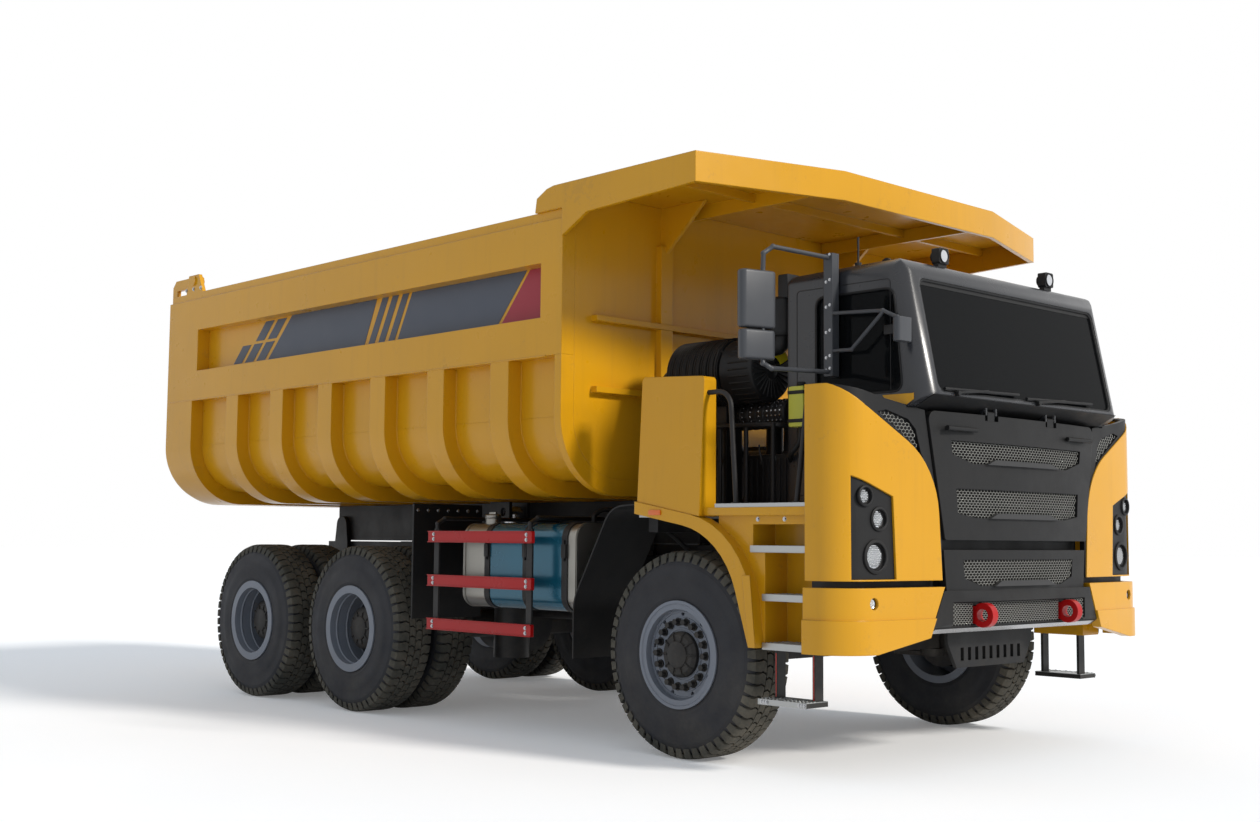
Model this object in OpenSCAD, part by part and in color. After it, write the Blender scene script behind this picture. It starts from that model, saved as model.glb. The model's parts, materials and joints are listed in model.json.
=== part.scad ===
// Off-road tipper with a centred cab, three axles and a ribbed U-section bed.
// Units are millimetres. X points forward, Y left, Z up.
// Lengths along X are counted from the front axle; the whole part is then
// shifted so that its origin lies under the middle of its length.

/* [Wheels] */
// Tyre outside diameter
tyre_d = 1368; // [1300:1:1440]
// Tyre section width
tyre_w = 374; // [340:1:400]
// Rim seat radius
seat_r = 318; // [310:1:326]
// Rim flange radius
flange_r = 355; // [345:1:365]
// Front axle to middle axle
wheelbase = 3700; // [3600:10:3800]
// Middle axle to rear axle
bogie = 1600; // [1550:10:1650]
// Front wheels, centre to centre
track_front = 2914; // [2880:2:2940]
// Outer rear wheels, centre to centre
track_rear = 3154; // [3120:2:3180]
// Spacing of the twin tyres
twin = 430; // [420:2:440]
// King pins, centre to centre
king_span = 2400; // [2380:2:2420]
// Studs on a front wheel
stud_count = 18; // [12:1:24]

/* [Frame] */
// Outside width over the frame rails
frame_w = 980; // [960:2:1000]
// Thickness of a frame rail
rail_t = 110; // [90:2:130]
// Frame rail underside
rail_low = 1020; // [980:5:1060]
// Frame rail top
rail_top = 1400; // [1380:5:1420]
// Front end of the rails
frame_nose = 1250; // [1230:5:1270]
// Rear end of the rails
frame_tail = -6050; // [-6080:5:-6000]
// Depth of the front beam
beam_d = 150; // [130:5:170]
// Underside of the front beam
beam_low = 960; // [940:5:980]
// Top of the front beam
beam_top = 1110; // [1090:5:1130]
// Running clearance at pins
run = 0.06; // [0.03:0.01:0.1]

/* [Bed] */
// Outside width of the bed
bed_w = 3960; // [3900:10:4020]
// Front face of the bed's front wall
bed_front = -810; // [-830:5:-790]
// Rear end of the bed's skin
bed_tail = -6600; // [-6640:5:-6560]
// Underside of the ribs
bed_low = 1745; // [1735:5:1755]
// Top of the side walls
bed_top = 3750; // [3720:10:3780]
// Outer corner radius at the ribs
bed_r = 550; // [500:10:600]
// Depth of ribs and rails
rib_d = 120; // [100:5:130]
// Thickness of the bed's plates
skin = 20; // [16:2:30]
// Width of one rib
rib_w = 210; // [180:5:240]
// Spacing of the ribs
rib_pitch = 776; // [760:2:790]
// Rear edge of the last rib
rib_start = -5479; // [-5500:1:-5460]
// Ribs along the bed
rib_count = 6; // [4:1:7]
// Bottom of the belt rail
belt_low = 2720; // [2690:5:2750]
// Top of the belt rail
belt_top = 2995; // [2960:5:3020]
// Bottom of the top rail
cap_low = 3385; // [3360:5:3410]
// Seam between floor tub and side plates
seam_z = 2300; // [2300:5:2380]
// Front edge of the canopy at its middle
canopy_nose = 818; // [780:5:850]
// Front edge of the canopy at its sides
canopy_side = 485; // [460:5:520]
// Canopy top
canopy_top = 3920; // [3900:5:3940]
// Depth of the canopy's skirt
skirt = 200; // [180:5:220]
// Thickness of the canopy's plates
canopy_t = 30; // [20:1:40]
// Overlap of the canopy beyond the bed's side
canopy_lap = 10; // [5:1:20]
// Half width of the canopy's straight front edge
canopy_flat = 886; // [850:2:920]
// Height of the set-back lip on the top rail
cap_lip = 70; // [50:2:90]
// Width of the post at the bed's front end
front_post = 230; // [200:5:260]
// Distance of the front braces from the middle
brace_y = 1000; // [960:5:1040]
// Depth of the ledges on the front wall
ledge_d = 60; // [50:2:70]
// Bed pivot along the truck
pivot_x = -5750; // [-5800:5:-5700]
// Bed pivot height
pivot_z = 1560; // [1550:2:1570]
// Tailgate pivot along the truck
gate_x = -6200; // [-6240:5:-6160]
// Tailgate pivot height
gate_z = 3870; // [3850:5:3890]

/* [Hoist] */
// Hoist position along the truck
hoist_x = -2900; // [-2920:5:-2880]
// Hoist distance from the middle
hoist_y = 680; // [670:2:690]
// Trunnion height
trunnion_z = 1180; // [1170:2:1190]
// Rod eye height
eye_z = 1660; // [1650:2:1670]
// Stroke of one stage
stage_stroke = 768; // [740:2:790]

/* [Cab] */
// Half width of the cab
cab_half = 1175; // [1150:5:1190]
// Rear wall of the cab
cab_rear = 560; // [540:5:600]
// Underside of the cab
cab_low = 1680; // [1670:5:1690]
// Roof height
cab_top = 3220; // [3190:5:3240]
// Thickness of walls and doors
wall = 55; // [45:1:65]
// Radius of the cab's corners seen from above
cab_r = 110; // [80:5:140]
// Rear edge of the driver's door
door_rear = 640; // [630:5:680]
// Front edge of the driver's door
door_front = 1400; // [1380:5:1420]
// Gap round the door
door_gap = 7; // [5:1:10]
// Thickness of the glass
glass_t = 8; // [6:1:12]

/* [Mirrors] */
// Mirror heads, distance from the middle
mirror_y = 1840; // [1820:5:1850]
// Air cleaner, rear end of its body
cleaner_rear = -420; // [-440:5:-400]
// Air cleaner, distance from the middle
cleaner_y = -1100; // [-1120:5:-1080]
// Air cleaner height
cleaner_z = 2590; // [2570:5:2610]
// Air cleaner radius
cleaner_r = 235; // [220:1:245]

/* [Nose] */
// Foremost point of the bumper
nose_x = 1707; // [1700:1:1714]
// Nose line where flap and fairings meet
nose_face = 1550; // [1540:2:1560]
// Forward bow of the flap at its middle
nose_bow = 55; // [40:1:65]
// Nose line at the outer corners
nose_side = 1480; // [1470:2:1490]
// Half width of the flap's top edge
flap_half = 1001; // [980:1:1020]
// Half width of the flap's bottom edge
flap_foot = 847; // [830:1:860]
// Top of the flap
flap_top = 2258; // [2240:1:2262]
// Bottom of the flap
flap_low = 1451; // [1440:1:1470]
// Thickness of the flap
flap_t = 45; // [40:1:46]
// Gap round the flap
flap_gap = 12; // [8:1:16]
// Depth of the mesh fields
mesh_d = 25; // [15:1:30]
// Top of the lower grille panel
panel_top = 1389; // [1380:1:1400]
// Flap handle, distance from the middle
handle_y = 712; // [690:2:730]
// Flap handle height
handle_z = 2153; // [2140:1:2170]
// Bottom of the centre bumper
chin_low = 868; // [850:2:880]
// Half width of the centre bumper's bottom edge
chin_half = 1000; // [980:2:1010]
// Bottom of the slotted guard
guard_low = 620; // [600:5:640]
// Crease in the bumper corners
crease_z = 968; // [950:2:980]
// Half width over the fairings
fairing_half = 1760; // [1740:5:1780]
// Underside of the fairings
fairing_low = 1200; // [1200:5:1230]
// Top of the fairings
fairing_top = 2385; // [2360:5:2400]
// Shell thickness of the fairings
fairing_t = 45; // [35:1:55]
// Bottom of the bumper corners
bumper_low = 765; // [750:5:780]
// Top of the bumper corners
bumper_top = 1160; // [1130:1:1160]
// Tow eye height
tow_z = 978; // [970:1:990]
// Tow eye distance from the middle
tow_y = 512; // [500:2:520]
// Tow eye hole radius
tow_r = 40; // [35:1:45]

/* [Deck] */
// Top of the cab's side deck
deck_z = 1670; // [1660:2:1676]
// Half width over the decks
deck_half = 1700; // [1680:5:1720]
// Rear edge of the side deck
deck_rear = 394; // [380:2:410]
// Front edge of the side deck
deck_front = 1144; // [1130:2:1160]
// Rear edge of the deck behind the cab
deck_tail = -433; // [-450:1:-420]
// Half width over the wheel arches
arch_half = 1745; // [1735:1:1760]
// Rear end of the wheel arch
arch_rear = -310; // [-320:2:-300]
// Height of the arch at its rear end
arch_rear_z = 1695; // [1685:1:1700]
// Width of the arch lip
arch_w = 83; // [75:1:90]
// Inner face of the arch panels
panel_y = 1652; // [1650:1:1656]
// Thickness of the arch panels
panel_t = 12; // [8:1:16]
// Rear wall of the step well
well_x = 778; // [774:1:784]
// Bottom of the step well
well_low = 755; // [745:1:765]
// Front edge of the steps
step_front = 1190; // [1180:1:1190]
// Back wall of the step well
step_y = 1440; // [1430:1:1450]
// Top step
tread_z = 1405; // [1395:1:1415]
// Hanging step below the others
drop_z = 440; // [420:5:460]
// Side boxes, rear face
box_rear = -294; // [-300:1:-288]
// Side boxes, front face
box_front = 288; // [280:1:296]
// Side boxes, inner face
box_inner = 1580; // [1570:1:1590]
// Side boxes, top
box_top = 2540; // [2520:5:2560]
// Height of one step
step_rise = 300; // [280:5:320]
// Tread thickness of the steps
tread_t = 40; // [30:1:50]
// Half width over the tanks
tank_half = 1620; // [1600:5:1640]
// Rear end of the tanks
tank_rear = -2355; // [-2380:5:-2330]
// Front end of the tanks
tank_front = -1030; // [-1050:5:-1020]
// Tank bottom
tank_low = 917; // [900:1:935]
// Tank top
tank_top = 1550; // [1535:1:1560]
// Inner face of the tanks
tank_inner = 1000; // [980:5:1020]
// Half width over the side guards
guard_half = 1786; // [1770:1:1800]
// Side guards, rear end
guard_rear = -2590; // [-2600:5:-2580]
// Side guards, front end
guard_front = -1335; // [-1350:5:-1320]
// Height of one guard rail
guard_h = 88; // [80:1:95]

/* [Hidden] */
$fn = 96;
tyre_r = tyre_d / 2;
flap_x = nose_face + 30;
flap_y = 360;
flap_z = flap_top + 14;
bow_r = (flap_half * flap_half + nose_bow * nose_bow) / (2 * nose_bow);
bow_a = asin((flap_half + 20) / bow_r);
flap_meshes = [[781, 2078, 1992, 1938], [734, 1775, 1618, 1592]];
panel_mesh = [658, 1326, 1209, 1159];
lamp_spots = [[-1550, 1710, 52], [-1430, 1573, 60], [-1462, 1347, 85]];
fog = [-1515, 1066, 36];
deck_low = deck_z - 60;
guard_z = [734, 1068, 1405];
strap_x = [tank_rear + 275, tank_rear + 730, tank_rear + 1169];
tail_x = bed_tail - 100;
mid_x = (nose_x + tail_x) / 2;
rail_y = frame_w / 2;
mid_axle = -wheelbase;
rear_axle = -wheelbase - bogie;
front_y = track_front / 2;
outer_y = track_rear / 2;
inner_y = outer_y - twin;
king_y = king_span / 2;
bed_half = bed_w / 2;
skin_half = bed_half - rib_d;
skin_r = bed_r - rib_d;
skin_low = bed_low + rib_d;
yellow = [0.86, 0.6, 0.12];
black = [0.1, 0.1, 0.11];
grey = [0.3, 0.31, 0.34];
steel = [0.5, 0.52, 0.55];
red = [0.7, 0.1, 0.12];
rubber = [0.12, 0.12, 0.13];
clear = [0.5, 0.6, 0.65, 0.4];

function arc(cx, cy, r, a0, a1, n) = [for (i = [0:n])
    [cx + r * cos(a0 + (a1 - a0) * i / n), cy + r * sin(a0 + (a1 - a0) * i / n)]];
function back(p) = [for (i = [len(p) - 1:-1:0]) p[i]];
// Bowed line of the nose from above, inset by t.
function bow(t) = arc(nose_face + nose_bow - bow_r, 0, bow_r - t, -bow_a, bow_a, 12);

module base() {
    translate([-mid_x, 0, 0]) children();
}

module both() {
    children();
    mirror([0, 1, 0]) children();
}

module bx(x0, x1, y0, y1, z0, z1) {
    translate([x0, y0, z0]) cube([x1 - x0, y1 - y0, z1 - z0]);
}

module xcyl(x0, x1, y, z, r) {
    translate([x0, y, z]) rotate([0, 90, 0]) cylinder(h = x1 - x0, r = r);
}

module ycyl(x, y0, y1, z, r) {
    translate([x, y0, z]) rotate([-90, 0, 0]) cylinder(h = y1 - y0, r = r);
}

module zcyl(x, y, z0, z1, r) {
    translate([x, y, z0]) cylinder(h = z1 - z0, r = r);
}

module side(pts, y0, y1) {
    translate([0, y1, 0]) rotate([90, 0, 0]) linear_extrude(y1 - y0) polygon(pts);
}

module cross(pts, x0, x1) {
    translate([x0, 0, 0]) rotate([90, 0, 90]) linear_extrude(x1 - x0) polygon(pts);
}

module plan(pts, z0, z1) {
    translate([0, 0, z0]) linear_extrude(z1 - z0) polygon(pts);
}

module tyre_ring() {
    w = tyre_w / 2;
    rotate_extrude() polygon([[seat_r, -w + 23], [flange_r + 2, -w + 13], [seat_r + 130, -w],
        [seat_r + 220, -w + 6], [tyre_r - 60, -w + 14], [tyre_r - 14, -w + 26], [tyre_r, -w + 56],
        [tyre_r, w - 56], [tyre_r - 14, w - 26], [tyre_r - 60, w - 14], [seat_r + 220, w - 6],
        [seat_r + 130, w], [flange_r + 2, w - 13], [seat_r, w - 23]]);
}

module tyre_single(x, y) {
    translate([x, y, tyre_r]) rotate([-90, 0, 0]) tyre_ring();
}

module rim_barrel(inner) {
    w = tyre_w / 2;
    rotate_extrude() polygon([[inner, -w], [flange_r, -w], [flange_r, -w + 12], [seat_r - 0.2, -w + 21],
        [seat_r - 0.2, w - 21], [flange_r, w - 12], [flange_r, w], [inner, w]]);
}

// Front wheel: disc near its outer face, hub with the bore for the stub axle.
module rim_front(s) {
    translate([0, s * front_y, tyre_r]) rotate([-90 * s, 0, 0]) {
        difference() {
            union() {
                difference() {
                    rim_barrel(298);
                    translate([0, 0, tyre_w / 2 - 8]) cylinder(h = 20, r1 = 330, r2 = 345);
                }
                translate([0, 0, 105]) cylinder(h = 26, r = 300);
                translate([0, 0, 60]) cylinder(h = 98, r = 150);
                translate([0, 0, 158]) cylinder(h = 22, r1 = 150, r2 = 128);
                for (i = [0:stud_count - 1]) rotate([0, 0, i * 360 / stud_count])
                    translate([215, 0, 129]) cylinder(h = 38, r = 17);
            }
            for (i = [0:8]) rotate([0, 0, i * 40 + 10])
                translate([268, 0, 90]) cylinder(h = 60, r = 15);
            translate([0, 0, 40]) cylinder(h = 90, r = 50 + run);
        }
    }
}

// Twin wheels: two rim barrels on one dished disc and a deep hub.
module rim_twin(x, s) {
    translate([x, s * outer_y, tyre_r]) rotate([-90 * s, 0, 0]) {
        difference() {
            union() {
                rim_barrel(292);
                translate([0, 0, -twin]) rim_barrel(292);
                translate([0, 0, -twin / 2 - 32]) difference() {
                    cylinder(h = 64, r = 300);
                    translate([0, 0, -1]) cylinder(h = 66, r = 291);
                }
                translate([0, 0, -twin / 2 - 12]) cylinder(h = 34, r = 294);
                translate([0, 0, -twin / 2 + 22]) cylinder(h = 250, r = 170);
                translate([0, 0, -twin / 2 + 272]) cylinder(h = 26, r1 = 170, r2 = 130);
                for (i = [0:stud_count - 1]) rotate([0, 0, i * 360 / stud_count])
                    translate([215, 0, -twin / 2 + 20]) cylinder(h = 40, r = 17);
            }
            translate([0, 0, -twin / 2 - 20]) cylinder(h = 200, r = 60 + run);
        }
    }
}

module tyre_front(s) {
    color(rubber) base() tyre_single(0, s * front_y);
}

module tyre_twin(x, s) {
    color(rubber) base() {
        tyre_single(x, s * outer_y);
        tyre_single(x, s * inner_y);
    }
}

module tyre_front_right() tyre_front(-1);
module tyre_front_left() tyre_front(1);
module tyre_mid_right() tyre_twin(mid_axle, -1);
module tyre_mid_left() tyre_twin(mid_axle, 1);
module tyre_rear_right() tyre_twin(rear_axle, -1);
module tyre_rear_left() tyre_twin(rear_axle, 1);
module rim_front_right() color(steel) base() rim_front(-1);
module rim_front_left() color(steel) base() rim_front(1);
module rim_mid_right() color(steel) base() rim_twin(mid_axle, -1);
module rim_mid_left() color(steel) base() rim_twin(mid_axle, 1);
module rim_rear_right() color(steel) base() rim_twin(rear_axle, -1);
module rim_rear_left() color(steel) base() rim_twin(rear_axle, 1);

module chassis_frame() {
    color(black) base() {
        both() difference() {
            union() {
                bx(frame_tail, frame_nose, rail_y - rail_t, rail_y, rail_low, rail_top);
                // Rubber pads that the bed rests on
                for (x = [-1500, -2450, -3700, -4700])
                    bx(x - 100, x + 100, rail_y - rail_t, rail_y, rail_top, rail_top + 5);
                // Ears and pin of the bed pivot
                bx(pivot_x - 110, pivot_x + 110, rail_y - 1, rail_y + 50, 1150, rail_top - 10);
                side([[pivot_x - 110, rail_top - 10], [pivot_x + 110, rail_top - 10], [pivot_x + 85, pivot_z],
                    [pivot_x - 85, pivot_z]], rail_y + 6, rail_y + 50);
                ycyl(pivot_x, rail_y + 6, rail_y + 50, pivot_z, 85);
                ycyl(pivot_x, rail_y - rail_t + 5, rail_y + 10, pivot_z, 45);
                // Cradle of a hoist cylinder
                for (x = [hoist_x - 240, hoist_x + 240])
                    bx(x - 30, x + 30, rail_y, hoist_y + 195, trunnion_z - 80, trunnion_z + 80);
                bx(hoist_x - 270, hoist_x + 270, hoist_y + 165, hoist_y + 195, trunnion_z - 80, trunnion_z + 80);
                bx(hoist_x - 90, hoist_x + 90, rail_y, rail_y + 20, trunnion_z - 90, trunnion_z + 90);
                // Outriggers under the decks
                for (x = [430, 1060]) {
                    bx(x, x + 90, rail_y - rail_t, rail_y, rail_top, deck_low);
                    bx(x, x + 90, rail_y - 1, step_y, deck_low - 120, deck_low);
                }
                bx(deck_tail + 13, deck_tail + 103, rail_y - rail_t, rail_y, rail_top, deck_low - 20);
                bx(deck_tail + 13, deck_tail + 103, rail_y - 1, box_inner - 80, deck_low - 120, deck_low - 20);
                // Cab mounts
                for (x = [620, 1150])
                    bx(x, x + 100, rail_y - rail_t, rail_y, rail_top, cab_low);
                // Tank and guard outriggers
                for (x = [tank_rear + 150, tank_front - 250])
                    bx(x, x + 100, rail_y - 1, tank_inner, 1120, 1320);
                // Front spring hangers
                for (x = [-840, 760])
                    bx(x, x + 80, rail_y - 1, 610, 880, 1120);
                // Bogie trunnion
                bx(mid_axle - bogie / 2 - 120, mid_axle - bogie / 2 + 120, rail_y - 1, 640, 1005, 1300);
            }
            ycyl(hoist_x, rail_y - rail_t - 1, hoist_y + 200, trunnion_z, 45 + run);
        }
        for (x = [-1900, -2560, -3250, -4550, frame_tail])
            bx(x, x + 100, -rail_y + rail_t - 1, rail_y - rail_t + 1, rail_low + 40, rail_top - 40);
        bx(frame_nose - 80, frame_nose, -rail_y + rail_t - 1, rail_y - rail_t + 1, rail_low + 40, rail_top - 40);
        // Front beam that carries bumper, tow eyes and fairings
        bx(frame_nose, frame_nose + beam_d, -1400, 1400, beam_low, beam_top);
    }
}

module front_axle() {
    color(black) base() {
        bx(-75, 75, -king_y + 60, king_y - 60, 610, 758);
        both() {
            zcyl(0, king_y, 610, 758, 68);
            bx(-68, 68, king_y - 110, king_y, 610, 758);
            zcyl(0, king_y, 545, 823, 36);
            bx(-120, 120, 510, 610, 758, 800);
        }
    }
}

module rear_axles() {
    color(black) base() for (x = [mid_axle, rear_axle]) {
        ycyl(x, -outer_y + twin / 2 + 25, outer_y - twin / 2 - 25, tyre_r, 120);
        ycyl(x, -outer_y + 100, outer_y - 100, tyre_r, 60);
        xcyl(x - 240, x + 240, 0, tyre_r, 250);
        both() bx(x - 110, x + 110, 510, 640, tyre_r, 900);
    }
}

module leaf_springs() {
    color(grey) base() both() {
        for (i = [0:3])
            bx(-400 - 153 * i, 400 + 153 * i, 510, 610, 800 + 20 * i, 820 + 20 * i);
        for (i = [0:3])
            bx(mid_axle - bogie / 2 - 920 + 190 * i, mid_axle - bogie / 2 + 920 - 190 * i, 510, 640,
                900 + 105 / 4 * i, 900 + 105 / 4 * (i + 1));
    }
}

module powertrain() {
    color(grey) base() {
        // Engine block, heads, manifold and fan
        bx(-700, 500, -330, 330, 960, 2010);
        for (i = [0:5]) bx(-680 + i * 195, -510 + i * 195, -190, 190, 2009, 2150);
        xcyl(-690, 480, -310, 2060, 50);
        for (i = [0:5]) ycyl(-595 + i * 195, -310, -150, 2060, 36);
        xcyl(499, 545, 0, 1640, 300);
        bx(500, 1150, -250, 250, 1050, 1600);
        both() bx(-300, -180, 300, rail_y - rail_t, 1120, 1320);
        xcyl(-1550, -700, 0, 1020, 230);
        xcyl(mid_axle + 240, -1550, 0, 800, 60);
        bx(-1560, -1500, -90, 90, 740, 1020);
        xcyl(rear_axle + 240, mid_axle - 240, 0, 760, 60);
    }
}

module radiator() {
    color(black) base() bx(1320, 1395, -640, 640, beam_top, 1650);
}

function unit(v) = v / norm(v);
// Outline with rounded corners; r is one radius or one for each corner.
function soft(p, r, n = 8) = [for (i = [0:len(p) - 1])
    let (a = p[(i + len(p) - 1) % len(p)], b = p[i], c = p[(i + 1) % len(p)],
        q = is_list(r) ? r[i] : r, u = unit(a - b), v = unit(c - b), h = acos(u * v) / 2,
        s = b + u * q / tan(h), e = b + v * q / tan(h), o = b + unit(u + v) * q / sin(h),
        a0 = atan2(s[1] - o[1], s[0] - o[0]),
        da = ((atan2(e[1] - o[1], e[0] - o[0]) - a0 + 540) % 360) - 180)
    each (q < 1 ? [b] : [for (k = [0:n]) o + q * [cos(a0 + da * k / n), sin(a0 + da * k / n)]])];

screen_top = [1517, 3120];
screen_low = [1675, 2349];
screen_tilt = atan2(screen_low[0] - screen_top[0], screen_top[1] - screen_low[1]);

// Frame whose X points out of the windscreen and whose Z runs up it.
module on_screen() {
    translate([(screen_top[0] + screen_low[0]) / 2, 0, (screen_top[1] + screen_low[1]) / 2])
        rotate([0, -screen_tilt, 0]) children();
}

// Cab body inset by t from its outside.
module cab_form(t) {
    intersection() {
        side(soft([[cab_rear + t, cab_low + t], [1475 - t, cab_low + t], [1475 - t, 2250 + t / 2],
            [screen_low[0] - t, screen_low[1]], [screen_top[0] - t, screen_top[1]],
            [1440 - t, cab_top - t], [cab_rear + t, cab_top - 30 - t]],
            [0, 0, 0, 14, 80, 60, 60]), -2000, 2000);
        cross(soft([[-cab_half + t, cab_low + t], [cab_half - t, cab_low + t],
            [cab_half - t, cab_top + 4 - t], [-cab_half + t, cab_top + 4 - t]], [1, 1, 100, 100]), 0, 2000);
        on_screen() plan(soft([[-1600, -cab_half + t], [-t, -cab_half + t], [-t, cab_half - t],
            [-1600, cab_half - t]], [1, cab_r + 20, cab_r + 20, 1]), -1500, 1500);
    }
}

// Outline of the windscreen in that frame.
pane = [[-1050, -376], [1050, -376], [1050, 366], [-1050, 366]];

module screen_cut() {
    on_screen() cross(soft(pane, 60), -120, 60);
}

module screen_pane() {
    on_screen() cross(soft(pane, 60), -20 - glass_t, -20);
}

window_right = [[800, 2370], [1490, 2370], [1425, 3025], [800, 3025]];
window_door = [[730, 2370], [1345, 2370], [1300, 3010], [730, 3010]];
window_rear = [[-620, 2450], [620, 2450], [620, 2960], [-620, 2960]];

module door_zone(gap) {
    bx(door_rear + gap, door_front - gap, cab_half - wall - 30, cab_half + 30, 1735 + gap, 3085 - gap);
}

module cab_skin() {
    difference() {
        cab_form(0);
        cab_form(wall);
    }
}

module cab_shell() {
    color(grey) base() {
        difference() {
            cab_skin();
            screen_cut();
            side(soft(window_right, 70), -cab_half - 50, -cab_half + wall + 50);
            cross(soft(window_rear, 70), cab_rear - 50, cab_rear + wall + 50);
            door_zone(0);
        }
        // Hinge lugs of the front flap
        both() for (y = [flap_y - 64, flap_y + 48]) difference() {
            bx(flap_x - 40, flap_x + 15, y, y + 16, flap_z - 14, flap_z + 60);
            ycyl(flap_x, y - 5, y + 20, flap_z, 8 + run);
        }
        // Hinge lugs of the door
        for (z = [1960, 2760]) {
            zcyl(door_front + 8, cab_half + 18, z - 70, z - 32, 16);
            zcyl(door_front + 8, cab_half + 18, z - 40, z + 30, 8);
            bx(door_front + 2, door_front + 40, cab_half - 5, cab_half + 10, z - 70, z - 32);
        }
    }
}

module cab_glass() {
    color(clear) base() {
        screen_pane();
        side(soft(window_right, 70), -cab_half + 20, -cab_half + 20 + glass_t);
        cross(soft(window_rear, 70), cab_rear + 20, cab_rear + 20 + glass_t);
    }
}

module door_left() {
    color(grey) base() {
        difference() {
            intersection() {
                cab_skin();
                door_zone(door_gap);
            }
            side(soft(window_door, 70), cab_half - wall - 50, cab_half + 50);
        }
        for (z = [1960, 2760]) difference() {
            union() {
                zcyl(door_front + 8, cab_half + 18, z - 30, z + 30, 16);
                bx(door_front - 60, door_front + 8, cab_half, cab_half + 14, z - 30, z + 30);
            }
            zcyl(door_front + 8, cab_half + 18, z - 50, z + 50, 8 + run);
        }
        // Grab handle of the door
        bx(700, 850, cab_half, cab_half + 22, 2230, 2270);
    }
}

module door_glass_left() {
    color(clear) base() side(soft(window_door, 70), cab_half - 20 - glass_t, cab_half - 20);
}

module seat(y) {
    bx(760, 1180, y - 190, y + 190, cab_low + wall, 2000);
    bx(700, 1230, y - 260, y + 260, 2000, 2130);
    side([[700, 2130], [830, 2130], [770, 2780], [670, 2780]], y - 250, y + 250);
    side([[690, 2800], [770, 2800], [760, 2960], [680, 2960]], y - 140, y + 140);
    bx(700, 740, y - 30, y + 30, 2770, 2810);
}

module cab_interior() {
    color(black) base() {
        seat(520);
        seat(-520);
        side(soft([[1300, 2330], [1330, 2120], [1360, 1990], [1415, 1990], [1415, 2350], [1340, 2360]],
            [30, 20, 0, 0, 0, 20]), -1080, 1080);
        translate([1235, 520, 2380]) rotate([0, -32, 0]) {
            rotate_extrude() translate([215, 0]) circle(r = 17);
            translate([0, 0, -9]) cylinder(h = 18, r = 62);
            for (a = [90, 210, 330]) rotate([0, 0, a]) translate([0, -16, -7]) cube([210, 32, 14]);
            translate([0, 0, -260]) cylinder(h = 255, r = 32);
        }
        bx(1330, 1410, 480, 560, cab_low + wall, 2200);
    }
}

module roof_fittings() {
    color(black) base() difference() {
        union() {
            for (y = [-640, 640]) {
                bx(1380, 1420, y - 45, y + 45, cab_top - 60, cab_top + 34);
                translate([1372, y, cab_top + 74]) cross(soft([[-52, -52], [52, -52], [52, 52], [-52, 52]], 14), 0, 62);
                xcyl(1350, 1373, y, cab_top + 74, 36);
            }
            for (y = [-900, 900], x = [700, 1170]) {
                bx(x - 40, x + 40, y - 10, y + 10, cab_top - 60, cab_top + 20);
                ycyl(x, y - 10, y + 10, cab_top + 20, 40);
            }
            zcyl(1060, -1060, cab_top - 60, cab_top + 20, 22);
            zcyl(1060, -1060, cab_top, cab_top + 190, 7);
        }
        for (y = [-900, 900], x = [700, 1170]) ycyl(x, y - 20, y + 20, cab_top + 24, 20);
        cab_form(0);
    }
}

module mirror_head(z, half, h) {
    translate([905, mirror_y + 35, z]) rotate([0, 0, 14])
        plan(soft([[-46, -half], [40, -half], [40, half], [-46, half]], [40, 36, 36, 40]), -h, h);
}

module mirror_set() {
    py = cab_half + 45;
    bx(930, 1000, py - 35, py + 35, 2492, 3290);
    for (z = [2560, 3060]) bx(940, 990, cab_half - 1, py - 34, z - 30, z + 30);
    tube([[965, py + 30, 3262], [955, mirror_y - 60, 3262], [930, mirror_y, 3215], [925, mirror_y, 3100]], 15);
    tube([[965, py + 30, 2520], [945, mirror_y - 60, 2500], [925, mirror_y, 2530], [925, mirror_y, 2560]], 15);
    zcyl(925, mirror_y, 2700, 2780, 13);
    mirror_head(2926, 130, 180);
    mirror_head(2642, 126, 92);
}

module mirror_right() {
    py = cab_half + 45;
    color(black) base() mirror([0, 1, 0]) difference() {
        union() {
            mirror_set();
            // Forward arm with the small kerb mirror
            tube([[990, py + 20, 2898], [1390, py + 20, 2875], [1500, py + 20, 2824], [1545, py + 20, 2770]], 12);
            tube([[990, py + 20, 2655], [1142, py + 20, 2650], [1395, py + 20, 2870]], 12);
            translate([1550, py + 32, 2740]) plan(soft([[-34, -70], [26, -70], [26, 70], [-34, 70]], 24), -75, 75);
        }
        cab_form(-0.1);
    }
}

module mirror_left() {
    color(black) base() difference() {
        mirror_set();
        cab_form(-0.1);
    }
}

// Outline of the nose from above, inset by t.
module nose_form(t, z0, z1) {
    plan(soft([[1190, -fairing_half + t], [nose_side - t, -fairing_half + t], [nose_face + 7 - t, -871],
        [nose_face + 7 - t, 871], [nose_side - t, fairing_half - t], [1190, fairing_half - t]],
        [0, 250 - t, 60, 60, 250 - t, 0]), z0, z1);
}

module nose_shell(t0, t1, z0, z1) {
    difference() {
        nose_form(t0, z0, z1);
        nose_form(t1, z0 - 1, z1 + 1);
    }
}

// Front view of the black lamp panel in a fairing.
lamp_field = [[-1650, 1210], [-1292, 1210], [-1318, 1712], [-1652, 1832]];

module lamp_hole() {
    cross(lamp_field, 1250, 1700);
}

module fairing_field(x0, x1) {
    cross(soft([[-1900, fairing_low - 10], [-1900, fairing_top + 10], [-1754, fairing_top + 10], [-1560, 2258],
        [-912, 1915], [-880, 1400], [-866, fairing_low - 10]], [0, 0, 0, 200, 540, 0, 0]), x0, x1);
}

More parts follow.
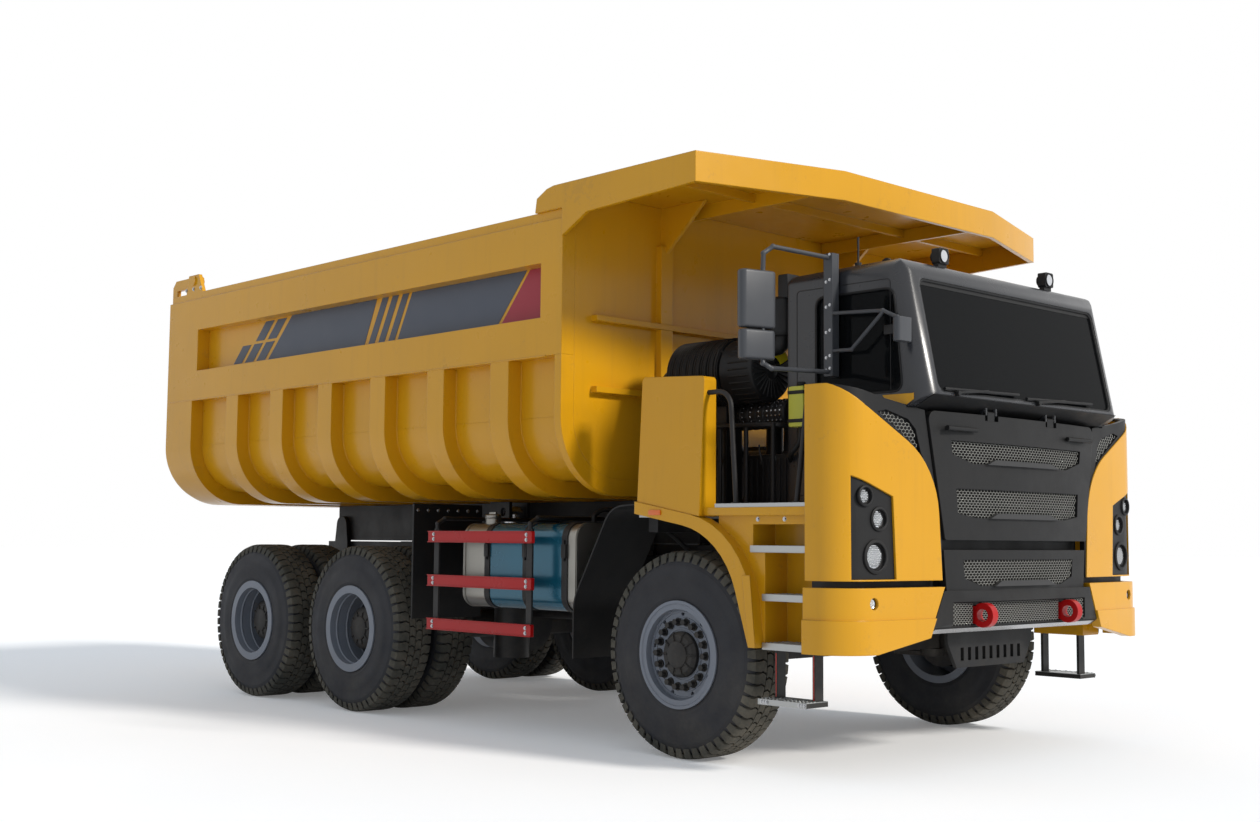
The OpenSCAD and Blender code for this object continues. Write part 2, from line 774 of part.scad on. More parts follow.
module fairings() {
    color(yellow) base() both() {
        difference() {
            intersection() {
                nose_shell(0, fairing_t, fairing_low, fairing_top);
                fairing_field(1100, 1700);
            }
            lamp_hole();
        }
        // Bracket to the front beam
        bx(1330, frame_nose + beam_d, -1280, -1240, beam_top, fairing_low + 45);
        intersection() {
            bx(1330, 1600, -1280, -1240, fairing_low + 1, fairing_low + 185);
            nose_form(fairing_t - 5, fairing_low - 15, fairing_low + 285);
        }
    }
}

module fairing_trim() {
    color(black) base() both() {
        difference() {
            intersection() {
                nose_shell(8, fairing_t, fairing_low, fairing_top);
                cross([[-1900, fairing_low], [-flap_foot - flap_gap, fairing_low], [-flap_foot - flap_gap, flap_low],
                    [-flap_half - flap_gap, flap_top], [-1397, 2312], [-1745, fairing_top]], 1100, 1700);
            }
            fairing_field(1050, 1750);
            cab_form(-door_gap);
            // Mesh vent beside the flap
            intersection() {
                nose_shell(-10, 30, fairing_low, fairing_top);
                cross([[-1443, 2225], [-1364, 2240], [-1168, 2193], [-1098, 2134], [-1050, 1986], [-1026, 1955],
                    [-1140, 2045], [-1330, 2157]], 1100, 1700);
            }
        }
        difference() {
            intersection() {
                nose_shell(14, fairing_t, fairing_low, fairing_top);
                lamp_hole();
            }
            // Round wells of the lamps
            for (p = lamp_spots) intersection() {
                xcyl(1250, 1700, p[0], p[1], p[2]);
                nose_shell(0, 36, fairing_low, fairing_top);
            }
        }
    }
}

module lamps() {
    color(clear) base() both() {
        for (p = lamp_spots) intersection() {
            xcyl(1250, 1700, p[0], p[1], p[2] - 3);
            nose_shell(28, 36, fairing_low, fairing_top);
        }
        intersection() {
            xcyl(1250, 1700, fog[0], fog[1], fog[2] - 3);
            nose_shell(8, 20, bumper_low, bumper_top);
        }
    }
}

module bumper_corners() {
    color(yellow) base() both() {
        difference() {
            intersection() {
                union() {
                    nose_shell(-20, 35, bumper_low, bumper_top);
                    nose_shell(-32, 35, bumper_low, crease_z);
                }
                cross([[-1900, bumper_low], [-1500, bumper_low], [-chin_half - 20, chin_low - 18],
                    [130 - chin_half, bumper_top], [-1900, bumper_top]], 1100, 1700);
            }
            intersection() {
                xcyl(1250, 1700, fog[0], fog[1], fog[2]);
                nose_shell(-40, 20, bumper_low, bumper_top);
            }
        }
        intersection() {
            bx(frame_nose + beam_d, 1600, -1380, -1200, beam_low + 20, beam_top - 20);
            nose_form(30, beam_low - 60, beam_top + 90);
        }
    }
}

module nose_panel() {
    color(black) base() {
        difference() {
            intersection() {
                bow_form(12, 62, bumper_top - 40, panel_top);
                cross([[-flap_foot + 26, bumper_top - 40], [flap_foot - 26, bumper_top - 40],
                    [flap_foot, panel_top], [-flap_foot, panel_top]], nose_face - 200, nose_face + 200);
            }
            mesh_pocket(panel_mesh);
        }
        mesh_lip(panel_mesh);
        difference() {
            intersection() {
                side([[1440, chin_low], [1500, chin_low], [1555, chin_low + 32], [1605, chin_low + 85],
                    [1618, 1060], [1590, bumper_top - 27], [1440, bumper_top - 27]], -chin_half, chin_half);
                cross([[-chin_half, chin_low], [chin_half, chin_low], [chin_half - 128, bumper_top - 27],
                    [128 - chin_half, bumper_top - 27]], 1400, 1700);
                bow_form(-12, 180, chin_low, bumper_top);
            }
            // Recess behind the tow eyes and the openings of their shanks
            bx(1560, nose_x, -790, 790, tow_z - 66, tow_z + 84);
            both() bx(1400, 1600, tow_y - 36, tow_y + 36, tow_z - 60, tow_z + 60);
        }
        both() bx(frame_nose + beam_d, 1441, 150, 250, 980, 1090);
        // Slotted guard under the front beam
        difference() {
            cross([[-400, guard_low], [400, guard_low], [500, guard_low + 165], [500, beam_low],
                [-500, beam_low], [-500, guard_low + 165]], frame_nose + 60, frame_nose + 85);
            for (i = [-4:4]) bx(frame_nose, frame_nose + beam_d, i * 84 - 18, i * 84 + 18,
                guard_low + 45, guard_low + 130);
        }
    }
}

module tow_eyes() {
    color(red) base() both() difference() {
        union() {
            ycyl(nose_x - 78, tow_y - 30, tow_y + 30, tow_z, 78);
            bx(frame_nose + beam_d, nose_x - 78, tow_y - 30, tow_y + 30, tow_z - 55, tow_z + 55);
        }
        ycyl(nose_x - 78, tow_y - 40, tow_y + 40, tow_z, tow_r);
    }
}

// Plate that bows forward in the middle of the nose, between the insets t0 and t1.
module bow_form(t0, t1, z0, z1) {
    plan(concat(bow(t0), back(bow(t1))), z0, z1);
}

// Front view of one mesh field: half width, top, foot of its sides, bottom.
function mesh_field(m) = [[-m[0], m[1]], [-m[0] + 15, m[2]], [-m[0] * 0.72, m[3]],
    [m[0] * 0.72, m[3]], [m[0] - 15, m[2]], [m[0], m[1]]];

// Raised lip below a mesh field.
module mesh_lip(m) {
    intersection() {
        bow_form(-8, mesh_d + 5, m[3] - 1, m[3] + 32);
        cross([[-m[0] * 0.55, m[3] - 1], [m[0] * 0.55, m[3] - 1], [m[0] * 0.42, m[3] + 32],
            [-m[0] * 0.42, m[3] + 32]], nose_face - 100, nose_face + 200);
    }
}

module mesh_pocket(m) {
    intersection() {
        bow_form(-20, mesh_d, m[3], m[1]);
        cross(mesh_field(m), nose_face - 100, nose_face + 200);
    }
}

module front_flap() {
    color(black) base() {
        difference() {
            intersection() {
                bow_form(0, flap_t, flap_low, flap_top);
                cross(soft([[-flap_foot, flap_low], [flap_foot, flap_low], [flap_half, flap_top],
                    [-flap_half, flap_top]], [20, 20, 60, 60]), nose_face - 200, nose_face + 200);
            }
            both() bx(flap_x - 100, flap_x + 100, flap_y - 72, flap_y + 72, flap_z - 50, flap_z + 20);
            for (m = flap_meshes) mesh_pocket(m);
        }
        for (m = flap_meshes) mesh_lip(m);
        both() {
            bx(flap_x - 25, flap_x + 12, flap_y - 40, flap_y + 40, flap_z - 55, flap_z);
            ycyl(flap_x, flap_y - 40, flap_y + 40, flap_z, 14);
            ycyl(flap_x, flap_y - 62, flap_y + 62, flap_z, 8);
            // Pull handle
            for (y = [handle_y - 110, handle_y + 110])
                bx(nose_face - 10, nose_face + 60, y - 14, y + 14, handle_z - 14, handle_z + 14);
            ycyl(nose_face + 58, handle_y - 160, handle_y + 160, handle_z, 15);
        }
    }
}

// Slope of the arch's upper edge.
function arch_z(x) = arch_rear_z - 0.174 * (x - arch_rear);

module fenders() {
    color(yellow) base() both() {
        // Arch lip outside the tyre
        side(soft([[arch_rear, arch_z(arch_rear) - arch_w], [arch_rear, arch_z(arch_rear)],
            [691, arch_z(691)], [785, well_low + 20], [720, well_low + 20], [500, arch_z(500) - arch_w]],
            [0, 0, 660, 0, 0, 600]), panel_y, arch_half);
        // Panel between the lip, the deck and the steps
        difference() {
            side([[deck_rear, deck_low], [deck_rear, arch_z(deck_rear) - arch_w], [600, 1000],
                [740, well_low + 20], [well_x + 12, well_low + 20], [well_x + 12, tread_z - tread_t],
                [well_x - 88, tread_z - tread_t],
                [well_x - 88, deck_low]], panel_y, panel_y + panel_t);
            side(soft([[arch_rear, arch_z(arch_rear) - arch_w], [500, arch_z(500) - arch_w],
                [720, well_low + 20], [720, 0], [arch_rear, 0]], [0, 600, 0, 0, 0]), panel_y - 1, arch_half + 1);
        }
        // Riser below the deck
        bx(well_x - 88, step_front, panel_y, panel_y + panel_t, deck_low - 70, deck_low);
        // Walls of the step well
        bx(well_x, step_front, step_y, step_y + panel_t, well_low, deck_low);
        bx(well_x - 100, well_x + 1, step_y, step_y + panel_t, tread_z - tread_t - 12, deck_low);
        bx(step_front - 12, step_front, step_y, panel_y + panel_t, well_low, deck_low);
        bx(well_x, well_x + 12, step_y, panel_y + panel_t, well_low + 20, tread_z - tread_t);
        bx(well_x - 100, well_x - 88, step_y, panel_y + panel_t, tread_z - tread_t - 12, deck_low);
        bx(well_x - 100, well_x + 12, step_y, panel_y + panel_t, tread_z - tread_t - 12, tread_z - tread_t);
    }
}

module steps() {
    color(steel) base() both() {
        bx(deck_rear, deck_front, 560, deck_half, deck_low, deck_z);
        bx(deck_tail, deck_rear + 1, 560, box_inner, deck_low - 20, deck_low + 10);
        for (i = [0:2])
            bx(i == 0 ? well_x - 88 : well_x + 12, step_front - 12, step_y + panel_t, deck_half - 10,
                tread_z - i * step_rise - tread_t, tread_z - i * step_rise);
    }
}

module step_hangers() {
    low_tread = tread_z - 2 * step_rise - tread_t;
    color(black) base() both() {
        for (x = [well_x + 20, step_front - 90]) bx(x, x + 20, 1500, 1580, drop_z, low_tread);
        difference() {
            bx(well_x - 20, step_front - 50, 1480, 1690, drop_z - 10, drop_z + 20);
            // Grip slots
            for (i = [0:4]) bx(well_x + 10 + i * 68, well_x + 40 + i * 68, 1600, 1670, drop_z - 20, drop_z + 30);
        }
    }
}

module side_boxes() {
    color(yellow) base() both() intersection() {
        side(soft([[box_rear, arch_z(box_rear)], [box_front, arch_z(box_front)], [box_front, box_top - 30],
            [box_rear, box_top]], [0, 0, 30, 30]), box_inner - 100, arch_half + 100);
        cross([[box_inner, deck_low - 40], [arch_half - 5, deck_low - 40], [arch_half - 55, box_top + 20],
            [box_inner, box_top + 20]], box_rear - 100, box_front + 100);
    }
}

// Round bar from a to b, and a bent tube along a path.
module rod(a, b, r) {
    d = b - a;
    translate(a) rotate([0, acos(d[2] / norm(d)), atan2(d[1], d[0])]) cylinder(h = norm(d), r = r);
}

module tube(path, r) {
    for (i = [0:len(path) - 2]) rod(path[i], path[i + 1], r);
    for (i = [1:len(path) - 2]) translate(path[i]) sphere(r = r + 3);
}

// Upright tube from a to c, bent at b with the radius k.
module bent(a, b, c, y, r, k) {
    u = unit(b - a);
    v = unit(c - b);
    turn = acos(u * v);
    s = sign(u[0] * v[1] - u[1] * v[0]);
    t = k * tan(turn / 2);
    o = b - u * t + s * k * [-u[1], u[0]];
    rod([a[0], y, a[1]], [b[0] - u[0] * t, y, b[1] - u[1] * t], r);
    rod([b[0] + v[0] * t, y, b[1] + v[1] * t], [c[0], y, c[1]], r);
    translate([o[0], y, o[1]]) rotate([90, 0, 0])
        rotate([0, 0, atan2(u[1], u[0]) - s * 90 + (s < 0 ? -turn : 0)])
            rotate_extrude(angle = turn) translate([k, 0]) circle(r = r);
}

// Handrails of one side; the front one stands at foot and leans to bend.
module rail_set(foot, bend) {
    $fn = 32;
    y = deck_half - 50;
    for (x = [531, foot]) zcyl(x, y, deck_z, deck_z + 12, 30);
    bent([531, deck_z + 4], [480, 2402], [box_front, 2402], y, 17, 110);
    bent([foot, deck_z + 4], [bend, 2300], [1212, 2300], y, 17, 45);
    ycyl(1212, y - 20, fairing_half - fairing_t, 2300, 20);
}

module deck_rails() {
    color(black) base() {
        // The left front rail stands clear of the open door
        rail_set(1114, 1150);
        mirror([0, 1, 0]) rail_set(1036, 1120);
    }
}

module air_cleaner() {
    color(black) base() {
        xcyl(cleaner_rear, 60, cleaner_y, cleaner_z, cleaner_r);
        for (i = [0:6]) xcyl(cleaner_rear + 20 + i * 66, cleaner_rear + 46 + i * 66, cleaner_y, cleaner_z, cleaner_r + 8);
        xcyl(59, 300, cleaner_y, cleaner_z, cleaner_r - 38);
        translate([300, cleaner_y, cleaner_z]) rotate([0, 90, 0])
            cylinder(h = 50, r1 = cleaner_r - 38, r2 = cleaner_r - 90);
        xcyl(cleaner_rear - 110, cleaner_rear + 1, cleaner_y, cleaner_z, 90);
        for (x = [-300, -80])
            bx(x, x + 90, cleaner_y - 80, cleaner_y + 80, deck_low + 10, cleaner_z - cleaner_r + 20);
        // Intake with its rain hood
        zcyl(270, cleaner_y, cleaner_z, cleaner_z + 300, 80);
        zcyl(270, cleaner_y, cleaner_z + 240, cleaner_z + 410, 108);
        translate([270, cleaner_y, cleaner_z + 410]) cylinder(h = 60, r1 = 108, r2 = 60);
    }
}

module tank_form(g) {
    cross(soft([[tank_inner - g, tank_low - g], [tank_half + g, tank_low - g], [tank_half + g, tank_top + g],
        [tank_inner - g, tank_top + g]], 110 + g), tank_rear, tank_front);
}

module side_tanks() {
    color(steel) base() both() {
        tank_form(0);
        zcyl(tank_rear + 150, 1450, tank_top - 5, tank_top + 45, 60);
    }
}

module tank_straps() {
    color(black) base() both() for (x = strap_x)
        difference() {
            intersection() {
                tank_form(8);
                bx(x, x + 60, tank_inner + 12, tank_half + 200, tank_low - 50, tank_top + 100);
            }
            tank_form(0);
        }
}

module guard_posts() {
    arm_z = tank_top + 40;
    y = guard_half - 46;
    color(black) base() both() for (x = [guard_rear + 40, guard_front - 90]) {
        bx(x, x + 60, y, y + 16, guard_z[0] + 10, arm_z - 80);
        tube([[x + 30, y + 8, arm_z - 90], [x + 30, y + 8, arm_z - 40], [x + 30, y - 60, arm_z],
            [x + 30, rail_y + 28, arm_z]], 16);
        // Foot on the frame rail
        zcyl(x + 30, rail_y + 28, rail_top - 60, arm_z, 16);
        bx(x, x + 60, rail_y, rail_y + 44, rail_top - 120, rail_top - 50);
    }
}

module guard_rails() {
    color(red) base() both() for (z = guard_z)
        side(soft([[guard_rear, z], [guard_front, z], [guard_front, z + guard_h], [guard_rear, z + guard_h]], 6),
            guard_half - 30, guard_half);
}

module mudguards() {
    color(black) base() both() {
        side(soft([[arch_rear, arch_z(arch_rear) - 8], [-610, arch_z(arch_rear) - 28], [-990, 1010], [-990, 600],
            [-978, 600], [-978, 1006], [-602, arch_z(arch_rear) - 41], [arch_rear, arch_z(arch_rear) - 20]],
            [0, 212, 312, 0, 0, 300, 200, 0]), 1150, 1690);
        bx(-2940, -2920, 1000, 1690, 795, 1712);
        bx(-2940, -2920, hoist_y + 195, 1001, 1140, 1240);
    }
}

module u_form(h, low, r, top) {
    translate([-h, low + r]) square([2 * h, top - low - r]);
    translate([r - h, low]) square([2 * (h - r), r + 1]);
    intersection() {
        for (s = [-1, 1]) translate([s * (h - r), low + r]) circle(r = r);
        translate([-h, low]) square([2 * h, r + 1]);
    }
}

module bed_ring(h0, low0, r0, h1, low1, r1, top, x0, x1) {
    translate([x0, 0, 0]) rotate([90, 0, 90]) linear_extrude(x1 - x0) difference() {
        u_form(h0, low0, r0, top);
        u_form(h1, low1, r1, top + 10);
    }
}

module bed_tub() {
    color(yellow) base() bed_ring(skin_half, skin_low, skin_r, skin_half - skin, skin_low + skin,
        skin_r - skin, seam_z, bed_tail, bed_front - skin);
}

module bed_side(s) {
    color(yellow) base() mirror([0, s, 0])
        bx(bed_tail, bed_front - skin, skin_half - skin, skin_half, seam_z, bed_top);
}

module bed_side_right() bed_side(1);
module bed_side_left() bed_side(0);

module rib_ring(x0, x1) {
    bed_ring(bed_half, bed_low, bed_r, skin_half, skin_low, skin_r, belt_low, x0, x1);
}

module bed_ribs() {
    color(yellow) base() {
        for (i = [0:rib_count - 1]) rib_ring(rib_start + i * rib_pitch, rib_start + i * rib_pitch + rib_w);
        rib_ring(bed_tail, bed_tail + 460);
        rib_ring(bed_front - 70, bed_front);
    }
}

module bed_rails() {
    color(yellow) base() both() {
        bx(bed_tail, bed_front, skin_half, bed_half, belt_low, belt_top);
        bx(bed_tail, bed_front, skin_half, bed_half, cap_low, bed_top - cap_lip);
        bx(bed_tail, bed_front, skin_half, bed_half - 14, bed_top - cap_lip - 1, bed_top);
        bx(bed_tail, bed_tail + 540, skin_half, bed_half, belt_top, cap_low);
        bx(bed_front - front_post, bed_front, skin_half, bed_half, belt_top, cap_low);
        // Bracket and pin of the tailgate
        side([[gate_x - 140, bed_top], [gate_x + 180, bed_top], [gate_x + 90, gate_z + 56],
            [gate_x - 100, gate_z + 56]], bed_half - 50, bed_half - 14);
        ycyl(gate_x, bed_half - 110, bed_half - 40, gate_z, 30);
        ycyl(gate_x, bed_half - 15, bed_half, gate_z, 46);
    }
}

module bed_front_wall() {
    color(yellow) base() {
        translate([bed_front - skin, 0, 0]) rotate([90, 0, 90]) linear_extrude(skin)
            u_form(skin_half, skin_low, skin_r, canopy_top - canopy_t);
        for (z = [2469, 2976])
            bx(bed_front, bed_front + ledge_d, 160 - skin_half, skin_half - 160, z, z + 42);
        both() {
            bx(bed_front, bed_front + ledge_d - 5, brace_y - 60, brace_y + 60, skin_low + 35, canopy_top - 320);
            // Gusset up to the canopy
            side([[bed_front - 1, canopy_top - 420], [bed_front - 1, canopy_top - canopy_t],
                [bed_front + 450, canopy_top - canopy_t]], brace_y - 15, brace_y + 15);
        }
    }
}

module bed_canopy() {
    half = bed_half + canopy_lap;
    low = canopy_top - skirt;
    color(yellow) base() {
        plan([[bed_front - skin, -half], [canopy_side, -half], [canopy_nose, -canopy_flat],
            [canopy_nose, canopy_flat], [canopy_side, half], [bed_front - skin, half]], canopy_top - canopy_t, canopy_top);
        both() {
            side([[bed_front - 290, bed_top], [bed_front - 274, canopy_top - 69], [bed_front - 166, canopy_top - 14], [bed_front - 90, canopy_top],
                [canopy_side, canopy_top], [canopy_side, low], [bed_front + 258, low - 37], [bed_front, bed_top - 200],
                [bed_front, bed_top]], half - canopy_t, half);
            plan([[canopy_side, half], [canopy_nose, canopy_flat], [canopy_nose - 32, canopy_flat],
                [canopy_side - 32, half - canopy_t], [canopy_side - 32, half]], low, canopy_top);
            // Ribs under the roof
            bx(bed_front, canopy_nose - 20, canopy_flat - 26, canopy_flat + 4, canopy_top - 130, canopy_top - 10);
            bx(canopy_side - 500, canopy_side - 470, canopy_flat, half - 20, canopy_top - 90, canopy_top - 10);
        }
        bx(canopy_nose - 32, canopy_nose, -canopy_flat, canopy_flat, low, canopy_top);
        bx(canopy_side - 500, canopy_side - 470, -canopy_flat, canopy_flat, canopy_top - 90, canopy_top - 10);
    }
}

module bed_beams() {
    color(yellow) base() both() difference() {
        union() {
            bx(pivot_x, bed_front - 90, rail_y - rail_t, rail_y, rail_top + 10, bed_low);
            bx(pivot_x - 120, pivot_x + 1, rail_y - rail_t, rail_y, pivot_z, bed_low);
            ycyl(pivot_x, rail_y - rail_t, rail_y, pivot_z, 120);
            for (y = [hoist_y - 112, hoist_y + 82])
                bx(hoist_x - 180, hoist_x + 80, y, y + 30, eye_z - 70, bed_low);
        }
        ycyl(pivot_x, 0, rail_y + 10, pivot_z, 45 + run);
        ycyl(hoist_x, hoist_y - 120, hoist_y + 120, eye_z, 36);
    }
}

module tailgate() {
    color(yellow) base() {
        translate([bed_tail - 76, 0, 0]) rotate([90, 0, 90]) linear_extrude(66)
            u_form(bed_half - 20, bed_low + 20, bed_r - 20, bed_top - 60);
        for (z = [2150, 2700, 3250]) bx(tail_x, bed_tail - 70, -1700, 1700, z, z + 130);
        both() difference() {
            side([[gate_x + 50, gate_z - 50], [gate_x + 50, gate_z + 30], [gate_x + 20, gate_z + 50],
                [bed_tail - 40, gate_z + 50], [tail_x, gate_z - 10], [tail_x, 3080], [bed_tail - 10, 3080],
                [bed_tail - 10, gate_z - 50]], bed_half - 95, bed_half - 57);
            ycyl(gate_x, bed_half - 130, bed_half, gate_z, 30 + run);
        }
    }
}

module stage(r, bore, z0, z1) {
    difference() {
        zcyl(hoist_x, hoist_y, z0, z1, r);
        zcyl(hoist_x, hoist_y, z0 + 15, z1 + 10, bore + run);
    }
}

module hoist_barrels() {
    color(black) base() both() {
        stage(150, 126, 450, 1330);
        ycyl(hoist_x, rail_y - 60, hoist_y - 148, trunnion_z, 45);
        ycyl(hoist_x, hoist_y + 148, hoist_y + 190, trunnion_z, 45);
    }
}

module hoist_outer() {
    color(steel) base() both() stage(126, 101, 470, 1370);
}

module hoist_inner() {
    color(steel) base() both() stage(101, 76, 490, 1410);
}

module hoist_rods() {
    color(steel) base() both() difference() {
        union() {
            zcyl(hoist_x, hoist_y, 510, eye_z - 20, 76);
            ycyl(hoist_x, hoist_y - 65, hoist_y + 65, eye_z, 50);
        }
        bx(hoist_x - 100, hoist_x + 100, hoist_y - 90, hoist_y - 65, eye_z - 60, eye_z + 60);
        bx(hoist_x - 100, hoist_x + 100, hoist_y + 65, hoist_y + 90, eye_z - 60, eye_z + 60);
    }
}

module knuckle(s) {
    mirror([0, s < 0 ? 1 : 0, 0]) {
        difference() {
            union() {
                for (z = [545, 764]) {
                    zcyl(0, king_y, z, z + 59, 72);
                    bx(-72, 72, king_y, king_y + 80, z, z + 59);
                }
                bx(-80, 80, king_y + 76, king_y + 130, 545, 823);
                bx(-300, -20, king_y - 35, king_y + 35, 545, 580);
                zcyl(-300, king_y, 545, 580, 45);
            }
            zcyl(0, king_y, 500, 900, 36 + run);
        }
        zcyl(-300, king_y, 570, 640, 20);
        ycyl(0, king_y + 120, front_y + 128, tyre_r, 50);
        ycyl(0, king_y + 140, front_y + 20, tyre_r, 230);
    }
}

module knuckle_right() color(grey) base() knuckle(-1);
module knuckle_left() color(grey) base() knuckle(1);

module tie_rod() {
    color(grey) base() difference() {
        union() {
            ycyl(-300, -king_y, king_y, 612, 26);
            for (s = [-1, 1]) zcyl(-300, s * king_y, 588, 636, 46);
        }
        for (s = [-1, 1]) zcyl(-300, s * king_y, 560, 660, 20 + run);
    }
}

chassis_frame();
front_axle();
rear_axles();
leaf_springs();
powertrain();
radiator();
air_cleaner();
cab_shell();
cab_glass();
cab_interior();
nose_panel();
fairings();
fairing_trim();
lamps();
bumper_corners();
tow_eyes();
fenders();
steps();
step_hangers();
side_boxes();
deck_rails();
side_tanks();
tank_straps();
guard_rails();
guard_posts();
mudguards();
mirror_right();
roof_fittings();
door_left();
door_glass_left();
mirror_left();
front_flap();
bed_tub();
bed_side_right();
bed_side_left();
bed_front_wall();
bed_canopy();
bed_ribs();
bed_rails();
bed_beams();
tailgate();
hoist_barrels();
hoist_outer();
hoist_inner();
hoist_rods();
knuckle_right();
knuckle_left();
tie_rod();
tyre_front_right();
rim_front_right();
tyre_front_left();
rim_front_left();
tyre_mid_right();
rim_mid_right();
tyre_mid_left();
rim_mid_left();
tyre_rear_right();
rim_rear_right();
tyre_rear_left();
rim_rear_left();
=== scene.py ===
"""Looks of the mining tipper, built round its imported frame."""
import json
import math

import bmesh
import bpy
from mathutils import Matrix, Vector

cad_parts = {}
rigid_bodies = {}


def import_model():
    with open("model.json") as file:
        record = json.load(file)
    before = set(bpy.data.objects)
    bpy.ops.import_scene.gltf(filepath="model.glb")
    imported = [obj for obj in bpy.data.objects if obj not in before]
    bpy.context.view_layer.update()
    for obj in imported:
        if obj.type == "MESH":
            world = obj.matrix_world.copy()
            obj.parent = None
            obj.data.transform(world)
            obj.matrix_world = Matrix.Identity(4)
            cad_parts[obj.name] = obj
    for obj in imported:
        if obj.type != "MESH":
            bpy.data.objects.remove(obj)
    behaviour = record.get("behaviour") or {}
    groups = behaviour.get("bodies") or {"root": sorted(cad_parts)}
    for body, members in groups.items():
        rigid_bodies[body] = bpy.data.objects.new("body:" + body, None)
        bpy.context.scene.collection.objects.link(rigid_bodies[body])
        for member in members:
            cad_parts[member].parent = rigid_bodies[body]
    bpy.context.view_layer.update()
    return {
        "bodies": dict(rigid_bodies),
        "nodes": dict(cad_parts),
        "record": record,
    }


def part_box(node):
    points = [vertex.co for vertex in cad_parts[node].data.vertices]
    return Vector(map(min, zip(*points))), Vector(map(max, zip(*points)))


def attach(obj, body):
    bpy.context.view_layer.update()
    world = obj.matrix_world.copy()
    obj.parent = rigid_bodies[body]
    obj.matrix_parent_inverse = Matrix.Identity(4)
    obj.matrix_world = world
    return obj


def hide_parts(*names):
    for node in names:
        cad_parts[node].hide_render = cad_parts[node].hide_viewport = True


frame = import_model()
NODES = frame["nodes"]

# Lengths along the truck are counted from the front axle, in metres.
SHIFT_X = 2.4965
TYRE_R = 0.684
FRONT_Y = 1.457
OUTER_Y = 1.577
INNER_Y = 1.147
AXLES = {"front": 0.0, "mid": -3.7, "rear": -5.3}
HANDS = (("right", -1), ("left", 1))
# Bow of the nose seen from above: foremost point and radius.
NOSE_TIP = 1.605
BOW_R = 9.137
# Fairing beside the flap: inner edge, its place, and how far it falls back
WING_Y, WING_FACE, WING_LEAN = 0.871, 1.557, 0.0866
BED_SIDE = 1.86


# Turns the Z axis to point ahead
AHEAD = Matrix.Rotation(math.radians(90), 4, "Y")


def at(x, y, z):
    """Point of the truck in the frame's own axes."""
    return Vector((x + SHIFT_X, y, z))


def bow_x(y, inset=0.0):
    """Place of the nose's bowed face at a distance from the middle."""
    return NOSE_TIP - BOW_R + math.sqrt((BOW_R - inset) ** 2 - y * y)


def wing_x(y, inset=0.0):
    """Place of the fairing's face beside the flap."""
    return WING_FACE - (abs(y) - WING_Y) * WING_LEAN - inset


# Shader node groups


class Tree:
    """Short hand for wiring one node tree."""

    def __init__(self, tree):
        self.tree = tree

    def node(self, kind, props=None, **inputs):
        n = self.tree.nodes.new(kind)
        for key, value in (props or {}).items():
            setattr(n, key, value)
        return self.fill(n, **inputs)

    def fill(self, n, **inputs):
        for key, value in inputs.items():
            self.feed(n.inputs[key.replace("_", " ")], value)
        return n

    def effect(self, tree, **inputs):
        return self.node("ShaderNodeGroup", {"node_tree": tree}, **inputs)

    def feed(self, socket, value):
        if hasattr(value, "is_output"):
            self.tree.links.new(value, socket)
        else:
            socket.default_value = value

    def math(self, op, a, b=0.0, clamp=False):
        n = self.tree.nodes.new("ShaderNodeMath")
        n.operation = op
        n.use_clamp = clamp
        self.feed(n.inputs[0], a)
        self.feed(n.inputs[1], b)
        return n.outputs[0]

    def mix(self, factor, a, b):
        n = self.tree.nodes.new("ShaderNodeMix")
        n.data_type = "RGBA"
        self.feed(n.inputs[0], factor)
        self.feed(n.inputs[6], a)
        self.feed(n.inputs[7], b)
        return n.outputs[2]

    def ramp(self, value, lo, hi, out_lo=0.0, out_hi=1.0):
        n = self.node("ShaderNodeMapRange", Value=value)
        for i, v in enumerate((lo, hi, out_lo, out_hi)):
            self.feed(n.inputs[i + 1], v)
        return n.outputs[0]

    def noise(self, vector, scale, detail=4.0, rough=0.55):
        n = self.node("ShaderNodeTexNoise", Vector=vector, Detail=detail, Roughness=rough)
        self.feed(n.inputs["Scale"], scale)
        return n.outputs["Fac"]


def group(name, inputs, outputs):
    """New shader group with its named sockets."""
    tree = bpy.data.node_groups.new(name, "ShaderNodeTree")
    for label, kind, value in inputs:
        s = tree.interface.new_socket(label, in_out="INPUT", socket_type=kind)
        s.default_value = value
    for label, kind in outputs:
        tree.interface.new_socket(label, in_out="OUTPUT", socket_type=kind)
    t = Tree(tree)
    return t, t.node("NodeGroupInput"), t.node("NodeGroupOutput")


COLOR, FLOAT = "NodeSocketColor", "NodeSocketFloat"


